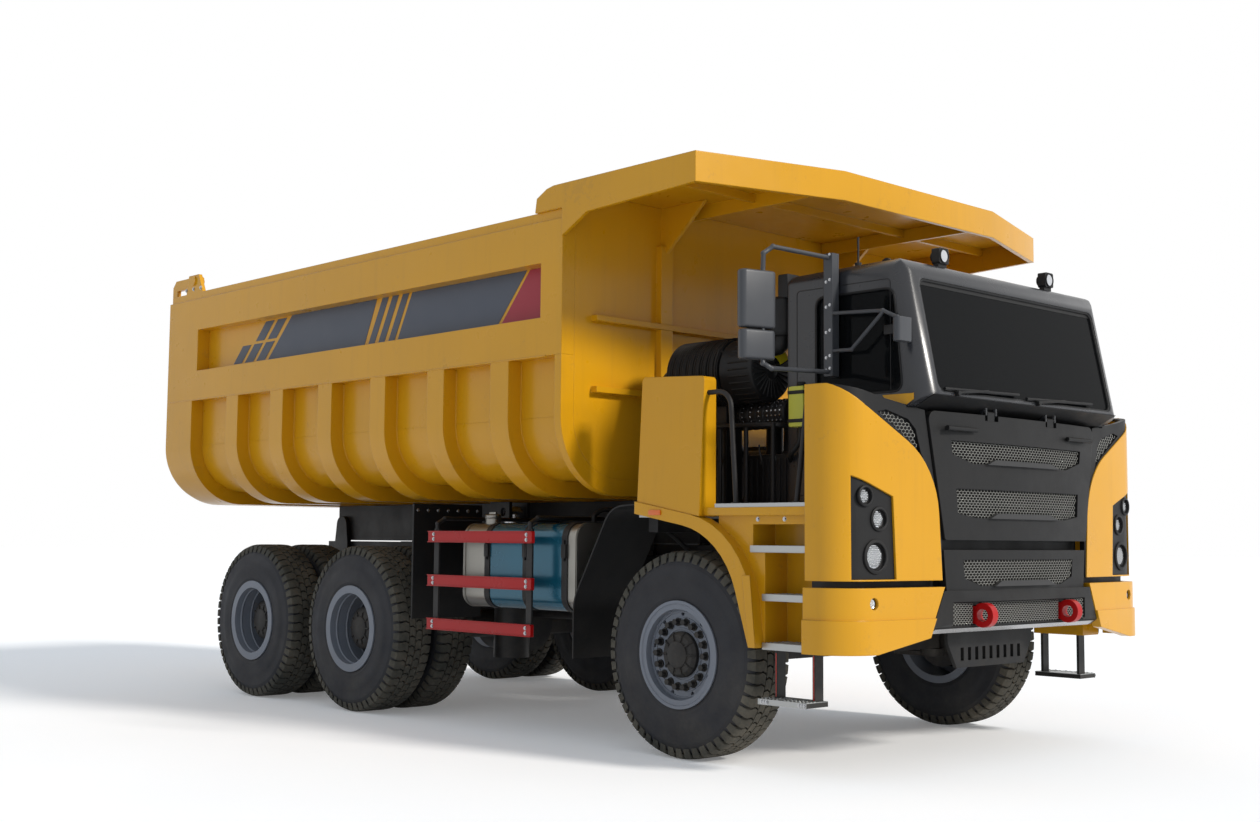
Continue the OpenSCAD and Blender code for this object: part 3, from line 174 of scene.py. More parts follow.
def make_road_dust():
    """Dust that settles low down and on faces that look up."""
    t, i, o = group("road dust", [("Base Color", COLOR, (0.5, 0.5, 0.5, 1)),
                                  ("Dust Color", COLOR, (0.3, 0.26, 0.2, 1)), ("Amount", FLOAT, 0.4),
                                  ("Reach", FLOAT, 1.4), ("Patch Scale", FLOAT, 3.0)],
                    [("Color", COLOR), ("Mask", FLOAT)])
    spot = t.node("ShaderNodeTexCoord").outputs["Object"]
    z = t.node("ShaderNodeSeparateXYZ", Vector=spot).outputs[2]
    low = t.ramp(z, 0.0, i.outputs["Reach"], 1.0, 0.12)
    facing = t.node("ShaderNodeNewGeometry").outputs["Normal"]
    up = t.ramp(t.node("ShaderNodeSeparateXYZ", Vector=facing).outputs[2], 0.5, 1.0, 0.0, 0.55)
    patch = t.ramp(t.noise(spot, i.outputs["Patch Scale"], 6.0, 0.65), 0.36, 0.68)
    fine = t.ramp(t.noise(spot, 46.0, 3.0), 0.3, 0.75, 0.55, 1.0)
    mask = t.math("MULTIPLY", t.math("ADD", low, up), t.math("MULTIPLY", patch, fine))
    mask = t.math("MULTIPLY", mask, i.outputs["Amount"], clamp=True)
    t.feed(o.inputs["Color"], t.mix(mask, i.outputs["Base Color"], i.outputs["Dust Color"]))
    t.feed(o.inputs["Mask"], mask)
    return t.tree


def make_paint_wear():
    """Small chips and long run-down streaks in a coat of paint."""
    t, i, o = group("paint wear", [("Base Color", COLOR, (0.5, 0.5, 0.5, 1)),
                                   ("Chip Color", COLOR, (0.1, 0.08, 0.07, 1)), ("Chips", FLOAT, 0.3),
                                   ("Streaks", FLOAT, 0.2), ("Tone", FLOAT, 0.12)], [("Color", COLOR)])
    spot = t.node("ShaderNodeTexCoord").outputs["Object"]
    cloud = t.ramp(t.noise(spot, 1.1, 3.0), 0.3, 0.7)
    tone = t.mix(t.math("MULTIPLY", cloud, i.outputs["Tone"]), i.outputs["Base Color"],
                 (0.02, 0.015, 0.01, 1))
    run = t.node("ShaderNodeMapping", Vector=spot)
    run.inputs["Scale"].default_value = (9.0, 9.0, 0.5)
    streak = t.ramp(t.noise(run.outputs[0], 1.0, 5.0, 0.7), 0.52, 0.78)
    tone = t.mix(t.math("MULTIPLY", streak, i.outputs["Streaks"]), tone, (0.12, 0.085, 0.04, 1))
    chip = t.ramp(t.math("MULTIPLY", t.noise(spot, 24.0, 6.0, 0.75), t.noise(spot, 2.3, 2.0)), 0.36, 0.4)
    mask = t.math("MULTIPLY", chip, i.outputs["Chips"], clamp=True)
    t.feed(o.inputs["Color"], t.mix(mask, tone, i.outputs["Chip Color"]))
    return t.tree


def make_surface_grain():
    """Fine relief and a slow change of gloss."""
    t, i, o = group("surface grain", [("Grain Scale", FLOAT, 300.0), ("Rough Low", FLOAT, 0.35),
                                      ("Rough High", FLOAT, 0.55)],
                    [("Height", FLOAT), ("Roughness", FLOAT)])
    spot = t.node("ShaderNodeTexCoord").outputs["Object"]
    t.feed(o.inputs["Height"], t.noise(spot, i.outputs["Grain Scale"], 2.0))
    slow = t.ramp(t.noise(spot, 5.0, 5.0), 0.3, 0.7)
    span = t.math("SUBTRACT", i.outputs["Rough High"], i.outputs["Rough Low"])
    t.feed(o.inputs["Roughness"], t.math("ADD", i.outputs["Rough Low"], t.math("MULTIPLY", slow, span)))
    return t.tree


def make_brushed_lines():
    """Fine lines along the truck, as on rolled or brushed metal."""
    t, i, o = group("brushed lines", [("Line Scale", FLOAT, 220.0)], [("Height", FLOAT), ("Tone", FLOAT)])
    spot = t.node("ShaderNodeTexCoord").outputs["Object"]
    flow = t.node("ShaderNodeMapping", Vector=spot)
    flow.inputs["Scale"].default_value = (0.02, 1.0, 1.0)
    lines = t.noise(flow.outputs[0], i.outputs["Line Scale"], 3.0)
    t.feed(o.inputs["Height"], lines)
    t.feed(o.inputs["Tone"], t.math("ADD", t.math("MULTIPLY", lines, 0.4),
                                    t.math("MULTIPLY", t.noise(spot, 3.0), 0.6)))
    return t.tree


DUST = make_road_dust()
WEAR = make_paint_wear()
GRAIN = make_surface_grain()
BRUSHED = make_brushed_lines()
DUST_TONE = (0.27, 0.235, 0.18, 1)
CHIP_TONE = (0.09, 0.075, 0.065, 1)
# Height of the finest relief in a painted surface
GRAIN_STEP = 0.0006


def srgb(r, g, b):
    """Linear colour of a screen colour given in 0..255."""
    return tuple((c / 255 / 12.92) if c <= 10 else ((c / 255 + 0.055) / 1.055) ** 2.4
                 for c in (r, g, b)) + (1,)


def new_material(name):
    """Material with its tree and its main shader."""
    m = bpy.data.materials.new(name)
    m.use_nodes = True
    return m, Tree(m.node_tree), m.node_tree.nodes["Principled BSDF"]


def finish(name, color, rough, metal=0.0, dust=0.3, reach=1.4, chips=0.0, streaks=0.0, tone=0.1,
           grain=300.0, bump=0.05, coat=0.0, weave=0.0, edge=0.0, gloss=0.3):
    """Painted, moulded or cast finish with its grain, wear and dust."""
    m, t, shader = new_material(name)
    wear = t.effect(WEAR, Base_Color=color, Chip_Color=CHIP_TONE, Chips=chips, Streaks=streaks, Tone=tone)
    settled = t.effect(DUST, Base_Color=wear.outputs["Color"], Dust_Color=DUST_TONE, Amount=dust,
                       Reach=reach)
    surface = t.effect(GRAIN, Grain_Scale=grain, Rough_Low=rough[0], Rough_High=rough[1])
    dulled = t.math("MULTIPLY", settled.outputs["Mask"], 0.3)
    rougher = t.math("ADD", surface.outputs["Roughness"], dulled, clamp=True)
    height = surface.outputs["Height"]
    if weave:
        spot = t.node("ShaderNodeTexCoord").outputs["Object"]
        threads = t.node("ShaderNodeTexChecker", Vector=spot, Scale=weave)
        height = t.math("ADD", height, threads.outputs["Fac"])
    relief = t.node("ShaderNodeBump", Height=height, Strength=bump, Distance=GRAIN_STEP)
    if edge:
        # Edges broken by a small radius
        t.feed(relief.inputs["Normal"], t.node("ShaderNodeBevel", {"samples": 6}, Radius=edge).outputs[0])
    t.fill(shader, Base_Color=settled.outputs["Color"], Roughness=rougher, Metallic=metal,
           Coat_Weight=coat, Coat_Roughness=0.18, Specular_IOR_Level=gloss, Normal=relief.outputs[0])
    return m


def metal_finish(name, color, rough, dust=0.2, lines=220.0, bump=0.08):
    """Bare metal with rolled or ground lines."""
    m, t, shader = new_material(name)
    rolled = t.effect(BRUSHED, Line_Scale=lines)
    dark = tuple(c * 0.72 for c in color[:3]) + (1,)
    base = t.mix(rolled.outputs["Tone"], dark, color)
    settled = t.effect(DUST, Base_Color=base, Dust_Color=DUST_TONE, Amount=dust, Reach=1.7)
    gloss = t.ramp(rolled.outputs["Tone"], 0.3, 0.7, rough[0], rough[1])
    rougher = t.math("ADD", gloss, t.math("MULTIPLY", settled.outputs["Mask"], 0.4), clamp=True)
    bare = t.math("SUBTRACT", 0.9, settled.outputs["Mask"], clamp=True)
    relief = t.node("ShaderNodeBump", Height=rolled.outputs["Height"], Strength=bump, Distance=0.0008)
    t.fill(shader, Base_Color=settled.outputs["Color"], Roughness=rougher, Metallic=bare,
           Normal=relief.outputs[0])
    return m


def glass_finish(name, color, rough, clear, bend=1.45):
    """Tinted pane with faint smears."""
    m, t, shader = new_material(name)
    smear = t.effect(GRAIN, Grain_Scale=60.0, Rough_Low=rough, Rough_High=rough + 0.06)
    t.fill(shader, Base_Color=color, Roughness=smear.outputs["Roughness"], Transmission_Weight=clear,
           IOR=bend)
    return m


YELLOW = finish("work yellow paint", srgb(207, 149, 14), (0.26, 0.36), dust=0.12, reach=1.0, chips=0.1,
                streaks=0.1, tone=0.08, coat=0.25, edge=0.009, gloss=0.22)
CAB_GREY = finish("cab dark grey paint", srgb(33, 35, 40), (0.24, 0.34), dust=0.1, reach=2.2, tone=0.12,
                  coat=0.4, edge=0.03, gloss=0.3)
BLACK_STEEL = finish("satin black steel", srgb(26, 26, 28), (0.38, 0.55), dust=0.2, reach=1.2, chips=0.1,
                     edge=0.005, gloss=0.25)
BLACK_PLASTIC = finish("grained black plastic", srgb(20, 21, 23), (0.42, 0.56), dust=0.12, reach=1.2,
                       grain=420.0, bump=0.35, edge=0.006, gloss=0.22)
RED_PAINT = finish("gloss red paint", srgb(172, 8, 12), (0.25, 0.38), dust=0.06, chips=0.1, coat=0.12,
                   edge=0.006, gloss=0.2)
RIM_GREY = finish("rim grey paint", srgb(118, 123, 133), (0.34, 0.46), dust=0.16, reach=1.0, chips=0.1)
RUBBER = finish("tyre sidewall rubber", srgb(38, 40, 46), (0.6, 0.76), dust=0.16, reach=1.2, tone=0.25,
                grain=160.0, bump=0.2)
TREAD_RUBBER = finish("dusty tread rubber", srgb(60, 60, 55), (0.75, 0.9), dust=0.6, reach=2.2, tone=0.25,
                      grain=120.0, bump=0.35)
IRON = finish("painted iron casting", srgb(34, 34, 37), (0.5, 0.65), dust=0.3, reach=1.6, chips=0.2,
              grain=90.0, bump=0.4)
FABRIC = finish("dark seat cloth", srgb(44, 44, 48), (0.8, 0.95), dust=0.1, grain=500.0, bump=0.6,
                weave=420.0)
HARD_TRIM = finish("dark moulded trim", srgb(34, 34, 37), (0.55, 0.7), dust=0.1, grain=380.0, bump=0.4)
STRIPE_DARK = finish("slate stripe film", srgb(72, 78, 90), (0.35, 0.45), dust=0.1, tone=0.06)
STRIPE_RED = finish("dull red stripe film", srgb(154, 44, 58), (0.35, 0.45), dust=0.1, tone=0.06)
AMBER = finish("amber marker lens", srgb(226, 104, 26), (0.15, 0.25), dust=0.1, coat=0.5)
SIGNAL_RED = finish("red reflector", srgb(190, 44, 26), (0.2, 0.3), dust=0.1, coat=0.5)
LABEL_YELLOW = finish("yellow sticker", srgb(232, 214, 30), (0.4, 0.5), dust=0.05)
TEAL_FILM = finish("teal protective film", srgb(10, 90, 114), (0.16, 0.3), metal=0.35, dust=0.1,
                   reach=1.2, tone=0.2, coat=0.4)
COOLANT = finish("yellow green coolant", srgb(186, 184, 70), (0.3, 0.4), dust=0.05)
# Near-black sheets in the mesh pockets: painted shade of the hollows behind the meshes
MESH_PAINTED_SHADE = finish("dark mesh backing", srgb(9, 9, 10), (0.7, 0.85), dust=0.1, gloss=0.2)
MESH_GREY = finish("zinc mesh wire", srgb(138, 138, 134), (0.4, 0.55), metal=0.5, dust=0.15, reach=2.0)
ALLOY = metal_finish("tread aluminium", srgb(176, 178, 178), (0.32, 0.48), dust=0.15)
TANK_ALLOY = metal_finish("rolled tank aluminium", srgb(150, 148, 142), (0.26, 0.42), dust=0.15,
                          lines=90.0)
STEEL = metal_finish("ground steel", srgb(186, 187, 190), (0.18, 0.32), dust=0.1)
CHROME = metal_finish("lamp reflector metal", srgb(222, 224, 228), (0.06, 0.14), dust=0.03)
GLASS = glass_finish("tinted cab glass", (0.012, 0.013, 0.014, 1), 0.015, 0.55, 1.12)
LENS = glass_finish("clear lamp lens", (0.92, 0.94, 0.96, 1), 0.05, 0.6)
# Black of the lips, lighter than the plastic as a painted highlight of the sky light they catch
LIP_BLACK = finish("rubbed black lip", srgb(38, 39, 41), (0.36, 0.5), dust=0.12, reach=1.2, edge=0.004)
MIRROR_SHELL = finish("grey mirror shell", srgb(66, 68, 72), (0.3, 0.42), dust=0.08, grain=380.0,
                      bump=0.3, edge=0.01)
PRESSED_LENS = metal_finish("pressed lens glass", srgb(188, 190, 192), (0.1, 0.22), dust=0.03, bump=0.0)
MIRROR = metal_finish("mirror glass", srgb(214, 218, 222), (0.02, 0.05), dust=0.05, bump=0.0)

SLOT_FINISH = {"yellow_paint": YELLOW, "cab_paint": CAB_GREY, "black_steel": BLACK_STEEL,
               "black_plastic": BLACK_PLASTIC, "red_paint": RED_PAINT, "tank_alloy": TANK_ALLOY,
               "rim_grey": RIM_GREY, "tyre_rubber": RUBBER, "steel": STEEL, "iron": IRON, "glass": GLASS,
               "lamp_glass": LENS, "trim_fabric": HARD_TRIM}
OWN_FINISH = {"steps": ALLOY, "bed_beams": BLACK_STEEL, "mirror_right": MIRROR_SHELL,
              "mirror_left": MIRROR_SHELL}
for part in frame["record"]["subparts"]:
    skins = NODES[part["node"]].data.materials
    skins.clear()
    skins.append(OWN_FINISH.get(part["node"], SLOT_FINISH[part["material_slot"]]))


# Mesh building


def quad_strip(bm, rings, capped=True):
    """Skin through closed rings of the same number of points."""
    rows = [[bm.verts.new(p) for p in ring] for ring in rings]
    n = len(rows[0])
    for a, b in zip(rows, rows[1:]):
        for k in range(n):
            bm.faces.new((a[k], a[(k + 1) % n], b[(k + 1) % n], b[k]))
    if capped:
        bm.faces.new(rows[0])
        bm.faces.new(rows[-1])


def add_box(bm, lo, hi, soft=0.0):
    """Block between two corners, with softened edges."""
    made = bmesh.ops.create_cube(bm, size=1.0)["verts"]
    size = [b - a for a, b in zip(lo, hi)]
    mid = [(a + b) / 2 for a, b in zip(lo, hi)]
    for v in made:
        v.co = at(*[m + c * s for m, c, s in zip(mid, v.co, size)])
    if soft:
        edges = list({e for v in made for e in v.link_edges})
        bmesh.ops.bevel(bm, geom=edges, offset=soft, segments=2, profile=0.7, affect="EDGES")


def turns(count):
    """Angles of an evenly divided circle."""
    return [2 * math.pi * k / count for k in range(count)]


def add_lathe(bm, profile, place, segs=48):
    """Ring through (radius, height) points about the Z axis of place."""
    rings = []
    for r, h in profile:
        rings.append([place @ Vector((r * math.cos(a), r * math.sin(a), h)) for a in turns(segs)])
    quad_strip(bm, rings, capped=False)


def add_tube(bm, path, r, sides=10):
    """Round bar along a path of points in the frame's axes."""
    rings = []
    side = None
    for i, p in enumerate(path):
        a = path[max(i - 1, 0)]
        b = path[min(i + 1, len(path) - 1)]
        d = (b - a).normalized()
        if side is None:
            side = d.cross(Vector((0.31, 0.17, 0.93))).normalized()
        side = (side - d * side.dot(d)).normalized()
        up = d.cross(side)
        rings.append([p + (side * math.cos(t) + up * math.sin(t)) * r for t in turns(sides)])
    quad_strip(bm, rings)


def smooth_path(points, steps=6):
    """Points of a smooth line through the given ones."""
    out = []
    pts = [points[0]] + list(points) + [points[-1]]
    for i in range(1, len(pts) - 2):
        p0, p1, p2, p3 = pts[i - 1:i + 3]
        for k in range(steps):
            t = k / steps
            bend = (2 * p0 - 5 * p1 + 4 * p2 - p3) * t * t
            turn = (3 * p1 - p0 - 3 * p2 + p3) * t ** 3
            out.append(0.5 * (2 * p1 + (p2 - p0) * t + bend + turn))
    return out + [points[-1]]


def add_hose(bm, points, r, sides, steps=6):
    """Smoothly bent round bar through points of the truck."""
    add_tube(bm, smooth_path([at(*p) for p in points], steps), r, sides)


def add_plate(bm, outline, thick):
    """Flat plate from a closed outline of points, thickened along thick."""
    quad_strip(bm, [outline, [p + thick for p in outline]])


def linked(name, data):
    """New object of the scene."""
    o = bpy.data.objects.new(name, data)
    bpy.context.scene.collection.objects.link(o)
    return o


def mesh_object(name, bm, sharp=38.0):
    """Object from a bmesh, with outward faces and sharp edges kept."""
    bmesh.ops.remove_doubles(bm, verts=bm.verts, dist=1e-6)
    bmesh.ops.recalc_face_normals(bm, faces=bm.faces)
    limit = math.radians(sharp)
    for f in bm.faces:
        f.smooth = True
    for e in bm.edges:
        e.smooth = len(e.link_faces) == 2 and e.calc_face_angle(0.0) < limit
    me = bpy.data.meshes.new(name)
    bm.to_mesh(me)
    bm.free()
    return linked(name, me)


def piece(name, bm, material, body, sharp=38.0):
    """Finished piece that rides on a body."""
    o = mesh_object(name, bm, sharp)
    o.data.materials.append(material)
    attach(o, body)
    return o


def mirrored(bm):
    """Adds the mirror image across the truck's middle."""
    made = bmesh.ops.duplicate(bm, geom=list(bm.verts) + list(bm.edges) + list(bm.faces))["geom"]
    for v in made:
        if isinstance(v, bmesh.types.BMVert):
            v.co.y = -v.co.y
    bmesh.ops.reverse_faces(bm, faces=[f for f in made if isinstance(f, bmesh.types.BMFace)])


# Solids shown again with smooth curves


SLOTS = {p["node"]: p["material_slot"] for p in frame["record"]["subparts"]}
BODY_NAMES = {empty: name for name, empty in frame["bodies"].items()}


def round_heads(bm):
    """Rounds the upper and lower rims of the mirror heads."""
    bmesh.ops.dissolve_limit(bm, angle_limit=math.radians(1), verts=bm.verts, edges=bm.edges)
    rims = []
    for e in bm.edges:
        if len(e.link_faces) == 2 and e.is_convex and abs(e.verts[0].co.y) > 1.7:
            tilt = sorted(abs(f.normal.z) for f in e.link_faces)
            if tilt[0] < 0.01 and tilt[1] > 0.99:
                rims.append(e)
    bmesh.ops.bevel(bm, geom=rims, offset=0.016, segments=4, profile=0.5, affect="EDGES")


def resmoothed(name, shape=None):
    """Shows a solid again with the same form and smooth shading."""
    slot = SLOTS[name]
    body = BODY_NAMES[NODES[name].parent]
    bm = bmesh.new()
    bm.from_mesh(NODES[name].data)
    bmesh.ops.remove_doubles(bm, verts=bm.verts, dist=1e-5)
    if shape:
        bmesh.ops.recalc_face_normals(bm, faces=bm.faces)
        bm.normal_update()
        shape(bm)
    o = piece("smooth_" + name, bm, OWN_FINISH.get(name, SLOT_FINISH[slot]), body, 32.0)
    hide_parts(name)


CURVED = ["fairings", "fairing_trim", "bumper_corners", "front_flap", "nose_panel", "cab_shell",
          "bed_tub", "bed_ribs", "bed_canopy", "bed_front_wall", "side_boxes", "side_tanks",
          "tank_straps", "mudguards", "fenders", "air_cleaner", "deck_rails", "guard_posts", "tow_eyes",
          "lamps", "rim_front_right", "rim_front_left", "rim_mid_right", "rim_mid_left", "rim_rear_right",
          "rim_rear_left", "hoist_barrels", "hoist_outer", "hoist_inner", "rear_axles", "roof_fittings"]
for curved in CURVED:
    resmoothed(curved)
for hand in ("right", "left"):
    resmoothed("mirror_" + hand, round_heads)


# Geometry node trees


def geo_tree(name, inputs):
    """New geometry tree with its named inputs, and their identifiers."""
    tree = bpy.data.node_groups.new(name, "GeometryNodeTree")
    tree.interface.new_socket("Geometry", in_out="INPUT", socket_type="NodeSocketGeometry")
    sockets = {}
    for label, kind, value in inputs:
        s = tree.interface.new_socket(label, in_out="INPUT", socket_type=kind)
        if value is not None:
            s.default_value = value
        sockets[label] = s.identifier
    tree.interface.new_socket("Geometry", in_out="OUTPUT", socket_type="NodeSocketGeometry")
    t = Tree(tree)
    return t, t.node("NodeGroupInput"), t.node("NodeGroupOutput"), sockets


def end_tree(t, out, geometry, material):
    """Ends a tree in a plain mesh with its material."""
    real = t.node("GeometryNodeRealizeInstances", Geometry=geometry)
    dressed = t.node("GeometryNodeSetMaterial", Geometry=real.outputs[0])
    t.feed(dressed.inputs["Material"], material)
    t.feed(out.inputs[0], dressed.outputs[0])


def on_faced_points(t, points, shape):
    """Copies of a shape on points, each turned the way its point faces."""
    spots = t.node("GeometryNodeMeshToPoints", Mesh=points)
    way = t.node("GeometryNodeInputNamedAttribute", {"data_type": "FLOAT_VECTOR"}, Name="facing")
    turn = t.node("FunctionNodeAlignRotationToVector", {"axis": "Z"}, Vector=way.outputs[0])
    return t.node("GeometryNodeInstanceOnPoints", Points=spots.outputs[0], Instance=shape,
                  Rotation=turn.outputs[0]).outputs[0]


def make_fastener_tree():
    """Heads with a washer on points that carry the direction they face."""
    t, i, o, ids = geo_tree("fastener rows", [("Head Radius", FLOAT, 0.014),
                                              ("Head Height", FLOAT, 0.012),
                                              ("Sides", "NodeSocketInt", 6), ("Washer", FLOAT, 1.5),
                                              ("Material", "NodeSocketMaterial", None)])
    head = t.node("GeometryNodeMeshCylinder", Vertices=i.outputs["Sides"],
                  Radius=i.outputs["Head Radius"], Depth=i.outputs["Head Height"])
    lift = t.node("ShaderNodeCombineXYZ", Z=t.math("MULTIPLY", i.outputs["Head Height"], 0.5))
    raised = t.node("GeometryNodeTransform", Geometry=head.outputs["Mesh"], Translation=lift.outputs[0])
    disc = t.node("GeometryNodeMeshCylinder", Vertices=12,
                  Radius=t.math("MULTIPLY", i.outputs["Head Radius"], i.outputs["Washer"]),
                  Depth=t.math("MULTIPLY", i.outputs["Head Height"], 0.4))
    both = t.node("GeometryNodeJoinGeometry")
    t.feed(both.inputs[0], raised.outputs[0])
    t.feed(both.inputs[0], disc.outputs["Mesh"])
    placed = on_faced_points(t, i.outputs["Geometry"], both.outputs[0])
    end_tree(t, o, placed, i.outputs["Material"])
    return t.tree, ids


def make_honeycomb_tree():
    """Round wire along every edge of a lattice."""
    t, i, o, ids = geo_tree("honeycomb wire", [("Wire Radius", FLOAT, 0.002),
                                               ("Material", "NodeSocketMaterial", None)])
    line = t.node("GeometryNodeMeshToCurve", Mesh=i.outputs["Geometry"])
    ring = t.node("GeometryNodeCurvePrimitiveCircle", Resolution=4, Radius=i.outputs["Wire Radius"])
    wire = t.node("GeometryNodeCurveToMesh", Curve=line.outputs[0])
    t.feed(wire.inputs["Profile Curve"], ring.outputs["Curve"])
    end_tree(t, o, wire.outputs[0], i.outputs["Material"])
    return t.tree, ids


def make_tread_tree():
    """Tread blocks turned round the wheel and joined to the tyre's body."""
    t, i, o, ids = geo_tree("tread ring", [("Blocks", "NodeSocketObject", None),
                                           ("Count", "NodeSocketInt", 54),
                                           ("Material", "NodeSocketMaterial", None),
                                           ("Block Material", "NodeSocketMaterial", None)])
    shape = t.node("GeometryNodeObjectInfo")
    t.feed(shape.inputs["Object"], i.outputs["Blocks"])
    ring = t.node("GeometryNodePoints", Count=i.outputs["Count"])
    step = t.math("DIVIDE", 2 * math.pi, i.outputs["Count"])
    angle = t.math("MULTIPLY", t.node("GeometryNodeInputIndex").outputs[0], step)
    turn = t.node("FunctionNodeEulerToRotation", Euler=t.node("ShaderNodeCombineXYZ", Y=angle).outputs[0])
    placed = t.node("GeometryNodeInstanceOnPoints", Points=ring.outputs[0],
                    Instance=shape.outputs["Geometry"], Rotation=turn.outputs[0])
    whole = t.node("GeometryNodeJoinGeometry")
    t.feed(whole.inputs[0], i.outputs["Geometry"])
    t.feed(whole.inputs[0], placed.outputs[0])
    real = t.node("GeometryNodeRealizeInstances", Geometry=whole.outputs[0])
    plain = t.node("GeometryNodeSetMaterial", Geometry=real.outputs[0])
    t.feed(plain.inputs["Material"], i.outputs["Material"])
    block = t.node("GeometryNodeInputNamedAttribute", {"data_type": "BOOLEAN"}, Name="block")
    dressed = t.node("GeometryNodeSetMaterial", Geometry=plain.outputs[0], Selection=block.outputs[0])
    t.feed(dressed.inputs["Material"], i.outputs["Block Material"])
    t.feed(o.inputs[0], dressed.outputs[0])
    return t.tree, ids


def make_flute_tree():
    """Six-sided facets on points that carry the direction they face."""
    t, i, o, ids = geo_tree("lens flutes", [("Facet Radius", FLOAT, 0.007),
                                            ("Facet Height", FLOAT, 0.004),
                                            ("Material", "NodeSocketMaterial", None)])
    facet = t.node("GeometryNodeMeshCone", Vertices=6, Radius_Bottom=i.outputs["Facet Radius"],
                   Radius_Top=t.math("MULTIPLY", i.outputs["Facet Radius"], 0.3),
                   Depth=i.outputs["Facet Height"])
    placed = on_faced_points(t, i.outputs["Geometry"], facet.outputs["Mesh"])
    end_tree(t, o, placed, i.outputs["Material"])
    return t.tree, ids


FASTENERS = make_fastener_tree()
FLUTES = make_flute_tree()
HONEYCOMB = make_honeycomb_tree()
TREAD = make_tread_tree()


def grown(o, tree, values):
    """Runs a node tree on an object and keeps the result as its plain mesh."""
    mod = o.modifiers.new("grow", "NODES")
    mod.node_group = tree[0]
    for label, value in values.items():
        mod[tree[1][label]] = value
    deps = bpy.context.evaluated_depsgraph_get()
    deps.update()
    me = bpy.data.meshes.new_from_object(o.evaluated_get(deps), depsgraph=deps)
    o.modifiers.clear()
    old = o.data
    o.data = me
    bpy.data.meshes.remove(old)
    me.name = o.name
    return o


def faced_points(name, spots):
    """Loose points, each with the direction it faces."""
    me = bpy.data.meshes.new(name)
    me.from_pydata([p for p, _ in spots], [], [])
    way = me.attributes.new("facing", "FLOAT_VECTOR", "POINT")
    way.data.foreach_set("vector", [c for _, d in spots for c in d])
    return linked(name, me)


def fasteners(name, spots, body, material, radius=0.014, height=0.012, sides=6, washer=1.5):
    """One piece of heads; spots are (point, facing) pairs."""
    o = faced_points(name, spots)
    grown(o, FASTENERS, {"Head Radius": radius, "Head Height": height, "Sides": sides, "Washer": washer,
                         "Material": material})
    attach(o, body)
    return o


def both_sides(spots):
    """The spots with their mirror images across the truck's middle."""
    return spots + [(Vector((p.x, -p.y, p.z)), (d[0], -d[1], d[2])) for p, d in spots]


# Tyres


# Rows of a tread block: place across, top radius, turn in pitches, half width.
PITCHES = 54
CENTRE_BLOCK = [(0.004, 0.684, 0.0, 0.035), (0.030, 0.684, 0.2, 0.035), (0.058, 0.684, 0.1, 0.035)]
SHOULDER_BLOCK = [(0.066, 0.684, 0.5, 0.035), (0.096, 0.684, 0.7, 0.035), (0.131, 0.682, 0.6, 0.034),
                  (0.158, 0.671, 0.62, 0.031), (0.171, 0.632, 0.62, 0.026)]


def tread_blocks():
    """Staggered blocks on each side of the middle, for one pitch."""
    bm = bmesh.new()
    pitch = 2 * math.pi / PITCHES
    for side in (-1, 1):
        for rows in (CENTRE_BLOCK, SHOULDER_BLOCK):
            rings = []
            for y, r, shift, half in rows:
                base = min(r - 0.02, 0.652)
                lean = (shift + (0.4 if side > 0 else 0.0)) * pitch
                section = ((base, -half), (base, half), (r, half - 0.002), (r, 0.002 - half))
                spread = [(rr, lean + w / TYRE_R) for rr, w in section]
                rings.append([Vector((rr * math.sin(a), side * y, rr * math.cos(a))) for rr, a in spread])
            quad_strip(bm, rings)
    o = mesh_object("tread blocks", bm, 20.0)
    mark = o.data.attributes.new("block", "BOOLEAN", "FACE")
    mark.data.foreach_set("value", [True] * len(o.data.polygons))
    return o


def tyre_body(bm):
    """Carcass with a ribbed sidewall, about the wheel's own axle."""
    half = [(0.319, 0.160), (0.335, 0.166), (0.352, 0.172), (0.362, 0.176), (0.378, 0.181),
            (0.386, 0.1835), (0.392, 0.1822), (0.43, 0.185), (0.47, 0.1845), (0.505, 0.182),
            (0.511, 0.1795), (0.55, 0.177), (0.585, 0.1735), (0.591, 0.170), (0.618, 0.164),
            (0.638, 0.152), (0.65, 0.135)]
    crown = [(0.653, -0.06), (0.653, 0.06)]
    profile = [(r, -y) for r, y in half] + crown + half[::-1]
    profile.append(profile[0])
    add_lathe(bm, profile, Matrix.Rotation(math.radians(-90), 4, "X"), 120)


def make_tyres():
    """Tyres in place of the plain ones, twins as one piece."""
    blocks = tread_blocks()
    for end, x in AXLES.items():
        for hand, s in HANDS:
            name = "%s_%s" % (end, hand)
            bm = bmesh.new()
            tyre_body(bm)
            o = mesh_object("treaded_tyre_" + name, bm, 24.0)
            grown(o, TREAD, {"Blocks": blocks, "Count": PITCHES, "Material": RUBBER,
                             "Block Material": TREAD_RUBBER})
            places = [FRONT_Y] if end == "front" else [OUTER_Y, INNER_Y]
            whole = bmesh.new()
            for k, y in enumerate(places):
                copy = o.data.copy()
                if s < 0:
                    copy.transform(Matrix.Rotation(math.pi, 4, "Z"))
                copy.transform(Matrix.Rotation(0.05 * k, 4, "Y"))
                copy.transform(Matrix.Translation(at(x, s * y, TYRE_R)))
                whole.from_mesh(copy)
                bpy.data.meshes.remove(copy)
            whole.to_mesh(o.data)
            whole.free()
            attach(o, "wheel_" + name)
            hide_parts("tyre_" + name)
    bpy.data.objects.remove(blocks)


make_tyres()


# Wheels


def wheel_place(end, s, depth):
    """Axes at a wheel's outer side, Z pointing outwards, depth counted from the wheel's middle."""
    y = FRONT_Y if end == "front" else OUTER_Y
    turn = Matrix.Rotation(math.radians(-90 * s), 4, "X")
    return Matrix.Translation(at(AXLES[end], s * (y + depth), TYRE_R)) @ turn


def ring_spots(place, r, count):
    """Evenly spread spots round the Z axis of place."""
    out = (place.to_3x3() @ Vector((0, 0, 1))).normalized()
    return [(place @ Vector((r * math.cos(a), r * math.sin(a), 0)), tuple(out)) for a in turns(count)]


